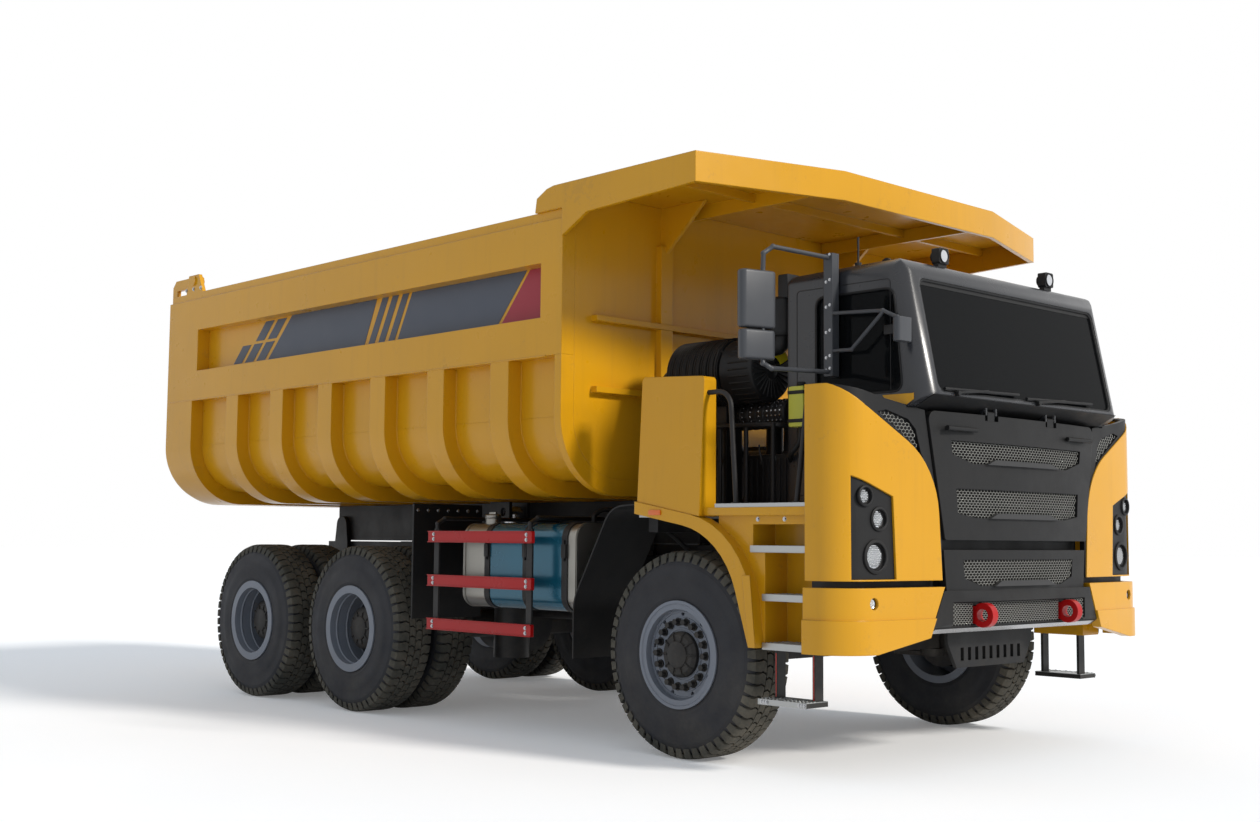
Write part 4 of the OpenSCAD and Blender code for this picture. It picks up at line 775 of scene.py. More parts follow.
NUT_CIRCLE, NUT_COUNT, NUT_R, NUT_HIGH = 0.215, 18, 0.0215, 0.044
CAP_RIBS = 10
# Half profiles of the hub caps: radius, height above the wheel's middle
FRONT_CAP = [(0.1515, 0.12), (0.1515, 0.157), (0.1295, 0.1812), (0.09, 0.1815), (0.088, 0.19),
             (0.08, 0.1945), (0.03, 0.196), (0.0004, 0.196)]
REAR_CAP = [(0.1715, -0.19), (0.1715, 0.058), (0.1315, 0.0842), (0.1, 0.0845), (0.097, 0.094),
            (0.088, 0.099), (0.0004, 0.1005)]


def make_wheel_trim():
    """Nuts, hub caps and rolled rim steps of all six wheels."""
    for end in AXLES:
        for hand, s in HANDS:
            name = "%s_%s" % (end, hand)
            body = "wheel_" + name
            front = end == "front"
            stud_face = 0.131 if front else -0.193
            nuts = ring_spots(wheel_place(end, s, stud_face), NUT_CIRCLE, NUT_COUNT)
            fasteners("wheel_nuts_" + name, nuts, body, BLACK_STEEL, NUT_R, NUT_HIGH,
                      washer=1.32)
            bm = bmesh.new()
            place = wheel_place(end, s, 0.0)
            add_lathe(bm, FRONT_CAP if front else REAR_CAP, place)
            low, high = (0.165, 0.186) if front else (0.06, 0.089)
            for a in turns(CAP_RIBS):
                out = Vector((math.cos(a), math.sin(a), 0))
                rib = [out * 0.148 + Vector((0, 0, low)), out * 0.128 + Vector((0, 0, high)),
                       out * 0.092 + Vector((0, 0, high))]
                add_tube(bm, [place @ p for p in rib], 0.007, 6)
            piece("hub_cap_" + name, bm, BLACK_STEEL, body)
            bm = bmesh.new()
            if front:
                # Rolled steps of the wheel disc
                for r, z in ((0.287, 0.1315), (0.248, 0.1315), (0.176, 0.1315)):
                    add_lathe(bm, [(r, z - 0.002), (r - 0.003, z + 0.006), (r - 0.01, z + 0.006),
                                   (r - 0.013, z - 0.002)], place, 64)
            else:
                # Rolled steps of the deep barrel
                for r, z in ((0.2915, 0.12), (0.2915, 0.02), (0.2915, -0.09)):
                    add_lathe(bm, [(r, z - 0.012), (r - 0.007, z - 0.004), (r - 0.007, z + 0.004),
                                   (r, z + 0.012)], place, 64)
            piece("rim_steps_" + name, bm, RIM_GREY, body)


make_wheel_trim()


# Meshes of the nose


def inside(poly, y, z):
    """Whether a point lies in a front-view outline."""
    hit = False
    for (y0, z0), (y1, z1) in zip(poly, poly[1:] + poly[:1]):
        if (z0 > z) != (z1 > z) and y < (y1 - y0) * (z - z0) / (z1 - z0) + y0:
            hit = not hit
    return hit


def honeycomb_edges(poly, cell, flat, blocked=None):
    """Edges of a flattened hexagon lattice inside a front-view outline."""
    ys = [p[0] for p in poly]
    zs = [p[1] for p in poly]
    r = cell / math.sqrt(3)
    edges = set()
    for j in range(int((max(zs) - min(zs)) / (1.5 * r * flat)) + 3):
        for i in range(int((max(ys) - min(ys)) / cell) + 3):
            cy = min(ys) + (i + 0.5 * (j % 2)) * cell - cell
            cz = min(zs) + (j * 1.5 - 1) * r * flat
            ring = [(round(cy + r * math.sin(k * math.pi / 3), 4),
                     round(cz + r * flat * math.cos(k * math.pi / 3), 4)) for k in range(6)]
            for a, b in zip(ring, ring[1:] + ring[:1]):
                m = ((a[0] + b[0]) / 2, (a[1] + b[1]) / 2)
                if all(inside(poly, *p) for p in (a, b)) and not (blocked and blocked(*m)):
                    edges.add((min(a, b), max(a, b)))
    return edges


WIRE_R = 0.0026


def honeycomb(name, fields, body):
    """Expanded mesh; fields are (outline, cell width, flatness, place of x, blocked)."""
    verts, lines, index = [], [], {}
    for poly, cell, flat, face, blocked in fields:
        index.clear()
        for a, b in sorted(honeycomb_edges(poly, cell, flat, blocked)):
            pair = []
            for y, z in (a, b):
                if (y, z) not in index:
                    index[(y, z)] = len(verts)
                    verts.append(at(face(y), y, z))
                pair.append(index[(y, z)])
            lines.append(pair)
    me = bpy.data.meshes.new(name)
    me.from_pydata(verts, lines, [])
    o = linked(name, me)
    grown(o, HONEYCOMB, {"Wire Radius": WIRE_R, "Material": MESH_GREY})
    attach(o, body)
    return o


def field(half, top, foot, low):
    """Outline of a mesh field, narrower towards its foot."""
    return [(-half, top), (-half + 0.015, foot), (-half * 0.72, low), (half * 0.72, low),
            (half - 0.015, foot), (half, top)]


# Width of a mesh cell and how flat it is pressed
CELL, FLATNESS = 0.034, 0.58
TOW_Y, TOW_Z = 0.512, 0.978
FLAP_FIELDS = [field(0.781, 2.078, 1.992, 1.938), field(0.734, 1.775, 1.618, 1.592)]
PANEL_FIELD = field(0.658, 1.326, 1.209, 1.159)
CHIN_FIELD = [(-0.785, 0.917), (0.785, 0.917), (0.785, 1.057), (-0.785, 1.057)]
VENT = [(-1.438, 2.222), (-1.364, 2.235), (-1.170, 2.188), (-1.102, 2.131), (-1.055, 1.986),
        (-1.033, 1.965), (-1.142, 2.052), (-1.33, 2.162)]


def mesh_painted_shade(bm, outline):
    """Thin bowed near-black sheet at the bottom of a mesh pocket, painted shade of the pocket's depth."""
    half, top, low = outline[-1][0], outline[0][1], outline[2][1]
    foot = outline[1][1]
    rows = []
    for k in range(-24, 25):
        y = (half - 0.004) * k / 24
        edge = max(abs(y) - half * 0.72, 0.0) / (half * 0.28 - 0.015)
        z = low + (foot - low) * min(edge, 1.0) + 0.004
        section = ((0.0248, z), (0.0235, z), (0.0235, top - 0.004), (0.0248, top - 0.004))
        rows.append([at(bow_x(y, i), y, h) for i, h in section])
    quad_strip(bm, rows)


def mesh_lip(bm, outline):
    """Scoop below a mesh field, its face turned up to the sky, in a black lightened as a painted
    highlight of that sky light.
    """
    half, low = outline[-1][0], outline[2][1]
    rows = []
    for k in range(-24, 25):
        foot, crest = half * 0.56 * k / 24, half * 0.425 * k / 24
        section = ((foot, 0.002, -0.003), (foot, -0.021, -0.002),
                   (crest, -0.0095, 0.0335), (crest, 0.014, 0.034))
        rows.append([at(bow_x(y, inset), y, low + rise) for y, inset, rise in section])
    quad_strip(bm, rows)


def make_meshes():
    """Meshes of the flap, the panel, the bumper and the vents, with what lies behind them, including
    near-black sheets of painted shade.
    """
    pocket = lambda y: bow_x(y, 0.016)
    honeycomb("flap_mesh", [(f, CELL, FLATNESS, pocket, None) for f in FLAP_FIELDS], "front_flap")
    past_eye = lambda y, z: abs(abs(y) - TOW_Y) < 0.05 and abs(z - TOW_Z) < 0.075
    wing = lambda y: wing_x(y, 0.018)
    left_vent = [(-y, z) for y, z in VENT]
    honeycomb("nose_mesh", [(PANEL_FIELD, CELL, FLATNESS, lambda y: bow_x(y, 0.019), None),
                            (CHIN_FIELD, 0.032, 0.45, lambda y: 1.570, past_eye),
                            (VENT, CELL, 0.7, wing, None), (left_vent, CELL, 0.7, wing, None)], "chassis")
    bm = bmesh.new()
    # Bars behind the flap's meshes
    for f in FLAP_FIELDS:
        z = (f[0][1] + f[2][1]) / 2
        pts = [at(bow_x(y / 10, 0.021), y / 10, z) for y in range(-6, 7)]
        add_tube(bm, pts, 0.004, 6)
    piece("flap_mesh_bars", bm, BLACK_STEEL, "front_flap")
    # Near-black sheets in the pockets: painted shade behind the meshes
    for fields, body, name in ((FLAP_FIELDS, "front_flap", "flap_mesh_backing"),
                               ([PANEL_FIELD], "chassis", "panel_mesh_backing")):
        bm = bmesh.new()
        for f in fields:
            mesh_painted_shade(bm, f)
        if body == "chassis":
            # Painted shade floor behind the bumper's mesh, open at the tow eyes
            for y0, y1 in ((-0.785, -0.552), (-0.472, 0.472), (0.552, 0.785)):
                add_box(bm, (1.5605, y0, 0.917), (1.5625, y1, 1.057))
        piece(name, bm, MESH_PAINTED_SHADE, body)
    # Lips below the meshes, their black lightened as a painted highlight
    for fields, body, name in ((FLAP_FIELDS, "front_flap", "flap_lips"),
                               ([PANEL_FIELD], "chassis", "panel_lip")):
        bm = bmesh.new()
        for f in fields:
            mesh_lip(bm, f)
        piece(name, bm, LIP_BLACK, body)
    bm = bmesh.new()
    # Dark liners behind the joints of the nose
    add_box(bm, (1.466, -0.87, 1.365), (1.470, 0.87, 1.475))
    path = [(1.47, 0.84), (1.415, 1.60), (1.36, 1.688), (1.20, 1.70)]
    for s in (-1, 1):
        rows = [[at(x, s * y, 1.145), at(x, s * y, 1.215), at(x - 0.004, s * (y - 0.001), 1.215),
                 at(x - 0.004, s * (y - 0.001), 1.145)] for x, y in path]
        quad_strip(bm, rows)
    piece("nose_liners", bm, BLACK_PLASTIC, "chassis")
    bm = bmesh.new()
    # Bright strip along the bottom of the bumper
    rows = []
    for k in range(-20, 21):
        y = k * 0.0475
        x = min(bow_x(y, -0.012), 1.556) + 0.001
        rows.append([at(x - 0.05, y, 0.873), at(x - 0.002, y, 0.9), at(x + 0.004, y, 0.898),
                     at(x - 0.047, y, 0.868)])
    quad_strip(bm, rows)
    piece("bumper_strip", bm, STEEL, "chassis")


make_meshes()


# Lamps


# Lamps of the right fairing and its bumper corner: across, height, radius
LAMPS = [(-1.550, 1.710, 0.052), (-1.430, 1.573, 0.060), (-1.462, 1.347, 0.085)]
FOG = (-1.515, 1.066, 0.036)
# Radius of one pressed facet in a lens
FACET = 0.0075


def lamp_place(y, z, inset):
    """Axes on the fairing's face, Z pointing out of it."""
    tilt = math.atan(WING_LEAN)
    face = at(wing_x(y, inset), y, z)
    out = Vector((math.cos(tilt), math.copysign(math.sin(tilt), y), 0))
    side = Vector((0, 0, 1)).cross(out)
    return Matrix.Translation(face) @ Matrix((side, Vector((0, 0, 1)), out)).transposed().to_4x4()


def make_lamps():
    """Cups, lenses and facets of the lamps, and the side markers."""
    rims, bowls, lenses = bmesh.new(), bmesh.new(), bmesh.new()
    facets = []
    for s in (1, -1):
        for y, z, r in LAMPS:
            # Deep dark cup with a pressed lens at its bottom
            place = lamp_place(s * y, z, 0.027)
            lens, lip = r * 0.82, r * 1.2 + 0.004
            add_lathe(rims, [(lens - 0.001, 0.0005), (lens, 0.004), (r - 0.0015, 0.003),
                             (r - 0.0015, 0.0235), (r + 0.002, 0.0255), (lip - 0.002, 0.0225),
                             (lip, 0.0120)], place, 48)
            add_lathe(bowls, [(lens, 0.0015), (lens * 0.6, 0.0035), (0.0005, 0.0045)], place, 40)
            out = place.to_3x3() @ Vector((0, 0, 1))
            for j in range(-12, 13):
                for i in range(-12, 13):
                    u, v = (i + 0.5 * (j % 2)) * FACET * 1.732, j * FACET * 1.5
                    if math.hypot(u, v) < lens - FACET:
                        rise = 0.0055 - 0.003 * (math.hypot(u, v) / lens) ** 2
                        facets.append((place @ Vector((u, v, rise)), out))
        # Fog lamp in the bumper corner
        y, z, r = FOG
        place = lamp_place(s * y, z, 0.007)
        rim = [(r - 0.005, 0), (r - 0.005, 0.01), (r * 0.86, 0.011), (r * 0.84, 0.002)]
        add_lathe(rims, rim, place, 40)
        bowl = [(r * 0.84, 0.0015), (r * 0.8, 0.006), (r * 0.56, 0.002), (r * 0.5, 0.0015)]
        add_lathe(bowls, bowl, place, 40)
        arc = [math.radians(k * 10) for k in range(10)]
        dome = [(r * 0.5 * math.cos(a), 0.003 + r * 0.26 * math.sin(a)) for a in arc]
        add_lathe(lenses, dome[:-1] + [(0.0005, dome[-1][1])], place, 28)
    flutes = faced_points("lamp_flutes", facets)
    grown(flutes, FLUTES, {"Facet Radius": FACET, "Facet Height": 0.004, "Material": PRESSED_LENS})
    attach(flutes, "chassis")
    for y in (0.64, -0.64):
        # Work lamps on the roof
        place = Matrix.Translation(at(1.4345, y, 3.294)) @ AHEAD
        add_lathe(rims, [(0.049, 0), (0.049, 0.005), (0.042, 0.006), (0.04, 0.001)], place, 32)
        add_lathe(bowls, [(0.04, 0.001), (0.03, 0.004), (0.0005, 0.002)], place, 32)
    piece("lamp_rims", rims, BLACK_PLASTIC, "chassis")
    piece("lamp_bowls", bowls, CHROME, "chassis")
    piece("lamp_domes", lenses, LENS, "chassis")
    bm = bmesh.new()
    # Amber side markers on the arch lips
    add_box(bm, (-0.165, 1.744, 1.6012), (-0.055, 1.756, 1.6352), 0.005)
    mirrored(bm)
    piece("side_markers", bm, AMBER, "chassis")


make_lamps()


# Stripes on the bed


STRIPE_LOW, STRIPE_HIGH = 3.006, 3.384


def film(bm, corners, s):
    """Film panel on the bed's side plate, from its (x, z) corners."""
    ring = [at(x, s * (BED_SIDE + 0.0002), z) for x, z in corners]
    add_plate(bm, ring, Vector((0, s * 0.0022, 0)))


def slash(x, z0, z1, width, lean=0.53):
    """Slanted bar whose lower rear corner, on the stripe's foot, is at x."""
    a, b = ((z - STRIPE_LOW) * lean for z in (z0, z1))
    return [(x + a, z0), (x + width + a, z0), (x + width + b, z1), (x + b, z1)]


LONG_PANELS = [[(-4.98, STRIPE_LOW), (-3.43, STRIPE_LOW), (-3.255, STRIPE_HIGH), (-4.57, STRIPE_HIGH)],
               [(-2.96, STRIPE_LOW), (-1.675, STRIPE_LOW), (-1.335, STRIPE_HIGH), (-2.762, STRIPE_HIGH)]]
RED_PANEL = [(-1.635, STRIPE_LOW), (-1.045, STRIPE_LOW), (-1.045, STRIPE_HIGH), (-1.30, STRIPE_HIGH)]


def make_stripes():
    """Dark and red film panels on both sides of the bed."""
    mid = (STRIPE_LOW + STRIPE_HIGH) / 2
    dark, red = bmesh.new(), bmesh.new()
    for s in (-1, 1):
        for corners in LONG_PANELS:
            film(dark, corners, s)
        for k in range(3):
            film(dark, slash(-3.375 + k * 0.142, STRIPE_LOW, STRIPE_HIGH, 0.088), s)
        film(red, RED_PANEL, s)
        # Blocks at the rear in two stepped rows
        for k in range(3):
            film(dark, slash(-5.60 + k * 0.205, STRIPE_LOW + 0.02, mid - 0.012, 0.15, 1.05), s)
        for k in range(2):
            film(dark, slash(-5.40 + k * 0.21, mid + 0.012, STRIPE_HIGH - 0.012, 0.15, 1.05), s)
    piece("bed_stripes", dark, STRIPE_DARK, "bed")
    piece("bed_red_stripe", red, STRIPE_RED, "bed")


make_stripes()


# Deck, steps and side guards


GUARD_Z = (0.734, 1.068, 1.405)
# Gripping fields of the steps, the deck and the hanging step: x, x, y, y and height
GRIP_FIELDS = [(0.705, 1.165, 1.47, 1.682, 1.405), (0.805, 1.165, 1.47, 1.682, 1.105),
               (0.805, 1.165, 1.47, 1.682, 0.805), (0.41, 1.13, 1.21, 1.69, 1.67),
               (0.77, 1.13, 1.6, 1.68, 0.4635)]


def make_step_trim():
    """Grips, nosings, bolts and lines of the steps, the deck and the side guards."""
    grip = []
    for x0, x1, y0, y1, z in GRIP_FIELDS:
        nx, ny = int((x1 - x0) / 0.04), int((y1 - y0) / 0.036)
        for i in range(nx + 1):
            for j in range(ny + 1):
                y = y0 + (y1 - y0) * (j + 0.5 * (i % 2)) / (ny + 0.5)
                grip.append((at(x0 + (x1 - x0) * i / nx, y, z), (0, 0, 1)))
    fasteners("step_grips", both_sides(grip), "chassis", ALLOY, 0.008, 0.004, 8, 1.5)
    bm = bmesh.new()
    # Bright nosing along the treads and the deck
    for x, z in ((0.69, 1.405), (0.79, 1.105), (0.79, 0.805)):
        add_box(bm, (x, 1.688, z - 0.038), (1.178, 1.694, z + 0.003), 0.002)
    add_box(bm, (0.394, 1.698, 1.650), (1.144, 1.704, 1.673), 0.002)
    # Tread of the hanging step, with its end plate
    add_box(bm, (0.756, 1.482, 0.4595), (1.142, 1.692, 0.4635), 0.001)
    add_box(bm, (0.756, 1.689, 0.428), (1.142, 1.693, 0.4635), 0.001)
    mirrored(bm)
    piece("step_nosings", bm, ALLOY, "chassis")
    bm = bmesh.new()
    # Painted fascia of the deck and the separate foot of the arch lip
    add_box(bm, (0.30, 1.695, 1.596), (1.190, 1.7035, 1.648), 0.002)
    foot = [(0.727, 0.776), (0.783, 0.776), (0.738, 1.222), (0.672, 1.222)]
    add_plate(bm, [at(x, 1.7445, z) for x, z in foot], Vector((0, 0.0065, 0)))
    mirrored(bm)
    piece("deck_fascia", bm, YELLOW, "chassis")
    bolts = [(at(x, 1.664, 1.572), (0, 1, 0)) for x in (0.73, 0.95, 1.13)]
    for x in (0.808, 1.11):
        bolts += [(at(x, y, 0.752), (-1, 0, 0)) for y in (1.515, 1.54, 1.565)]
        bolts += [(at(x + dx, 1.6945, 0.446), (0, 1, 0)) for dx in (-0.02, 0.0, 0.02)]
    for x in (-2.52, -1.395):
        for z in GUARD_Z:
            for dz in (0.026, 0.062):
                bolts.append((at(x, 1.786, z + dz), (0, 1, 0)))
    fasteners("side_bolts", both_sides(bolts), "chassis", STEEL, 0.010, 0.008)
    row = [(at(-2.92, 1.05 + k * 0.1, 1.66), (1, 0, 0)) for k in range(7)]
    fasteners("mud_panel_bolts", both_sides(row), "chassis", STEEL, 0.011, 0.008)
    bm = bmesh.new()
    # Red reflecting line on the hanging steps
    for x in (0.798, 1.10):
        add_box(bm, (x + 0.008, 1.5795, 0.47), (x + 0.014, 1.582, 0.74))
    mirrored(bm)
    piece("hanger_lines", bm, SIGNAL_RED, "chassis")
    bm = bmesh.new()
    # Flanges of the side guards' channel rails
    for z in GUARD_Z:
        for dz in (0.0, 0.081):
            add_box(bm, (-2.59, 1.784, z + dz), (-1.335, 1.7945, z + dz + 0.007), 0.001)
    mirrored(bm)
    piece("guard_flanges", bm, RED_PAINT, "chassis")


make_step_trim()


# Tanks


def tank_skin(offset):
    """Outer side of the tank's section, from its top round to its bottom."""
    half, low, top, r = 1.62, 0.917, 1.55, 0.11
    pts = [(half - 0.33, top + offset)]
    for k in range(9):
        a = math.radians(90 - k * 11.25)
        pts.append((half - r + (r + offset) * math.cos(a), top - r + (r + offset) * math.sin(a)))
    for k in range(9):
        a = math.radians(-k * 11.25)
        pts.append((half - r + (r + offset) * math.cos(a), low + r + (r + offset) * math.sin(a)))
    pts.append((half - 0.3, low - offset))
    return pts


def tank_band(bm, x0, x1, thick):
    """Band round the tank's outer side."""
    rings = []
    inner, outer = tank_skin(0.0002), tank_skin(thick)
    for x in (x0, x1):
        rings.append([at(x, y, z) for y, z in inner] + [at(x, y, z) for y, z in reversed(outer)])
    quad_strip(bm, rings)


def make_tank_trim():
    """Film, end rings, filler caps and buckles of both tanks."""
    bm = bmesh.new()
    tank_band(bm, -2.015, -1.632, 0.002)
    tank_band(bm, -1.558, -1.192, 0.002)
    mirrored(bm)
    piece("tank_film", bm, TEAL_FILM, "chassis")
    bm = bmesh.new()
    # Pressed rings round the tank's ends
    for x in (-2.335, -1.05):
        tank_band(bm, x - 0.012, x + 0.012, 0.006)
    # Filler cap with its grip
    cap = [(0.061, 0.0), (0.064, 0.008), (0.064, 0.026), (0.056, 0.034), (0.0006, 0.036)]
    add_lathe(bm, cap, Matrix.Translation(at(-2.205, 1.45, 1.59)), 28)
    add_box(bm, (-2.245, 1.441, 1.62), (-2.165, 1.459, 1.642), 0.004)
    mirrored(bm)
    piece("tank_end_rings", bm, TANK_ALLOY, "chassis")
    bm = bmesh.new()
    # Buckles of the straps and a feed hose
    for x in (-2.05, -1.595, -1.156):
        add_box(bm, (x - 0.024, 1.626, 1.30), (x + 0.024, 1.642, 1.40), 0.005)
        add_tube(bm, [at(x, 1.636, 1.28), at(x, 1.636, 1.43)], 0.009, 8)
    add_hose(bm, [(-1.25, 1.25, 1.55), (-1.25, 1.25, 1.62), (-1.2, 1.15, 1.66), (-1.05, 0.95, 1.62),
                  (-0.95, 0.7, 1.45), (-0.94, 0.49, 1.3)], 0.018, 10)
    mirrored(bm)
    piece("tank_buckles", bm, BLACK_STEEL, "chassis")


make_tank_trim()


# Cab outside


SCREEN_TOP = (1.517, 3.120)
SCREEN_LOW = (1.675, 2.349)


def screen_x(z, out=0.0):
    """Place of the windscreen's face at a height."""
    t = (z - SCREEN_LOW[1]) / (SCREEN_TOP[1] - SCREEN_LOW[1])
    return SCREEN_LOW[0] + (SCREEN_TOP[0] - SCREEN_LOW[0]) * t + out


def rounded(pts, r, y):
    """Closed line round a side-view outline, with rounded corners."""
    out = []
    n = len(pts)
    for i in range(n):
        a, b, c = Vector(pts[i - 1]), Vector(pts[i]), Vector(pts[(i + 1) % n])
        u, v = (a - b).normalized(), (c - b).normalized()
        for k in range(6):
            t = k / 5
            p = (b + u * r) * (1 - t) ** 2 + b * 2 * t * (1 - t) + (b + v * r) * t * t
            out.append(at(p.x, y, p.y))
    return out + out[:2]


def corner_ring(place, depth, half, low, high, r, steps):
    """Rounded rectangle across the X axis of place; half, low and high are its corners' centres."""
    ring = []
    for q, (y, z) in enumerate(((half, high), (-half, high), (-half, low), (half, low))):
        for k in range(steps + 1):
            a = math.radians(90 * q + 90 / steps * k)
            ring.append(place @ Vector((depth, y + r * math.cos(a), z + r * math.sin(a))))
    return ring


WIPER_REACH = 0.84


def make_cab_trim():
    """Wipers, rubbers, the fixed door's fittings and the pillar bands."""
    bm = bmesh.new()
    # Wipers parked along the foot of the screen
    for y in (-0.99, -0.06):
        foot = at(screen_x(2.362, 0.004), y + 0.12, 2.362)
        knee = at(screen_x(2.372, 0.025), y + 0.17, 2.372)
        tip = at(screen_x(2.40, 0.018), y + WIPER_REACH * 0.55, 2.40)
        add_tube(bm, [foot, knee, tip], 0.009, 8)
        pivot = [at(screen_x(2.362, out), y + 0.12, 2.362) for out in (0.0, 0.03)]
        add_tube(bm, pivot, 0.016, 12)
        blade = [at(screen_x(2.385 + 0.02 * k / 8, 0.004), y + WIPER_REACH * k / 8, 2.385 + 0.02 * k / 8)
                 for k in range(9)]
        add_tube(bm, blade, 0.011, 6)
    # Cowl below the screen
    cowl = ((1.672, 2.3475), (1.48, 2.2525), (1.4813, 2.2498), (1.6733, 2.3448))
    add_plate(bm, [at(x, -1.10, z) for x, z in cowl], Vector((0, 2.2, 0)))
    piece("screen_wipers", bm, BLACK_PLASTIC, "chassis")
    bm = bmesh.new()
    # Rubber frame round the windscreen
    tilt = math.atan2(SCREEN_LOW[0] - SCREEN_TOP[0], SCREEN_TOP[1] - SCREEN_LOW[1])
    mid = at((SCREEN_TOP[0] + SCREEN_LOW[0]) / 2, 0, (SCREEN_TOP[1] + SCREEN_LOW[1]) / 2)
    face = Matrix.Translation(mid) @ Matrix.Rotation(-tilt, 4, "Y")
    ring = corner_ring(face, -0.014, 0.985, -0.311, 0.301, 0.06, 6)
    add_tube(bm, ring + [ring[0], ring[1]], 0.011, 6)
    # Dark band along the top of the glass
    band = ((-1.04, 0.326), (1.04, 0.326), (1.0, 0.364), (-1.0, 0.364))
    add_plate(bm, [face @ Vector((-0.0195, y, z)) for y, z in band],
              face.to_3x3() @ Vector((0.002, 0, 0)))
    window = [(0.80, 2.37), (1.49, 2.37), (1.425, 3.025), (0.80, 3.025)]
    add_tube(bm, rounded(window, 0.07, -1.171), 0.009, 6)
    piece("window_rubbers", bm, BLACK_PLASTIC, "chassis")
    bm = bmesh.new()
    window = [(0.73, 2.37), (1.345, 2.37), (1.30, 3.01), (0.73, 3.01)]
    add_tube(bm, rounded(window, 0.07, 1.171), 0.009, 6)
    piece("door_window_rubber", bm, BLACK_PLASTIC, "door_left")
    bm = bmesh.new()
    # Seam, handle and hinges of the fixed right door
    seam = [(0.64, 1.735), (1.40, 1.735), (1.40, 3.085), (0.64, 3.085)]
    add_tube(bm, rounded(seam, 0.03, -1.1755), 0.0025, 6)
    add_box(bm, (0.70, -1.197, 2.23), (0.85, -1.185, 2.27), 0.005)
    for x in (0.712, 0.838):
        add_box(bm, (x - 0.01, -1.19, 2.238), (x + 0.01, -1.172, 2.262), 0.003)
    for z in (1.96, 2.76):
        add_box(bm, (1.36, -1.195, z - 0.03), (1.45, -1.172, z + 0.03), 0.006)
    piece("right_door_seam", bm, BLACK_STEEL, "chassis")
    bm = bmesh.new()
    # Painted band at the foot of the windscreen pillars
    low, high = 2.272, 2.352
    for s in (-1, 1):
        ring = [(1.395, low), (1.50, low), (1.572, high - 0.04), (1.572, high), (1.335, high)]
        add_plate(bm, [at(x, s * 1.1746, z) for x, z in ring], Vector((0, s * 0.0035, 0)))
    piece("pillar_bands", bm, YELLOW, "chassis")


make_cab_trim()


# The left mirror rides on the driver's door
MIRROR_SIDES = ((-1, "chassis", "right"), (1, "door_left", "left"))


def make_mirror_glass():
    """Two glasses in the back of each mirror head."""
    for s, body, name in MIRROR_SIDES:
        bm = bmesh.new()
        turn = Matrix.Rotation(math.radians(14 * s), 4, "Z")
        for z, half, h in ((2.926, 0.106, 0.16), (2.642, 0.102, 0.074)):
            place = Matrix.Translation(at(0.905, s * 1.875, z)) @ turn
            ring = corner_ring(place, -0.0462, half - 0.02, 0.02 - h, h - 0.02, 0.02, 4)
            add_plate(bm, ring, turn @ Vector((-0.003, 0, 0)))
        piece("mirror_glass_" + name, bm, MIRROR, body)


make_mirror_glass()


def make_post_bolts():
    """Pairs of bolts up the mirror posts."""
    for s, body, name in MIRROR_SIDES:
        spots = [(at(x, s * 1.255, 2.53 + 0.082 * k + dz), (0, s, 0)) for k in (0, 1, 3, 5, 7, 9)
                 for x, dz in ((0.95, 0), (0.98, 0.012))]
        fasteners("post_bolts_" + name, spots, body, STEEL, 0.007, 0.005)


make_post_bolts()


# Engine side


# Axis of the air cleaner
CLEANER_Y, CLEANER_Z = -1.1, 2.59


def cleaner_bar(bm, out, x0, r0, x1, r1, thick):
    """Short bar on the cleaner, between two distances along and from its axis."""
    ends = [at(x, CLEANER_Y, CLEANER_Z) + out * r for x, r in ((x0, r0), (x1, r1))]
    add_tube(bm, ends, thick, 6)


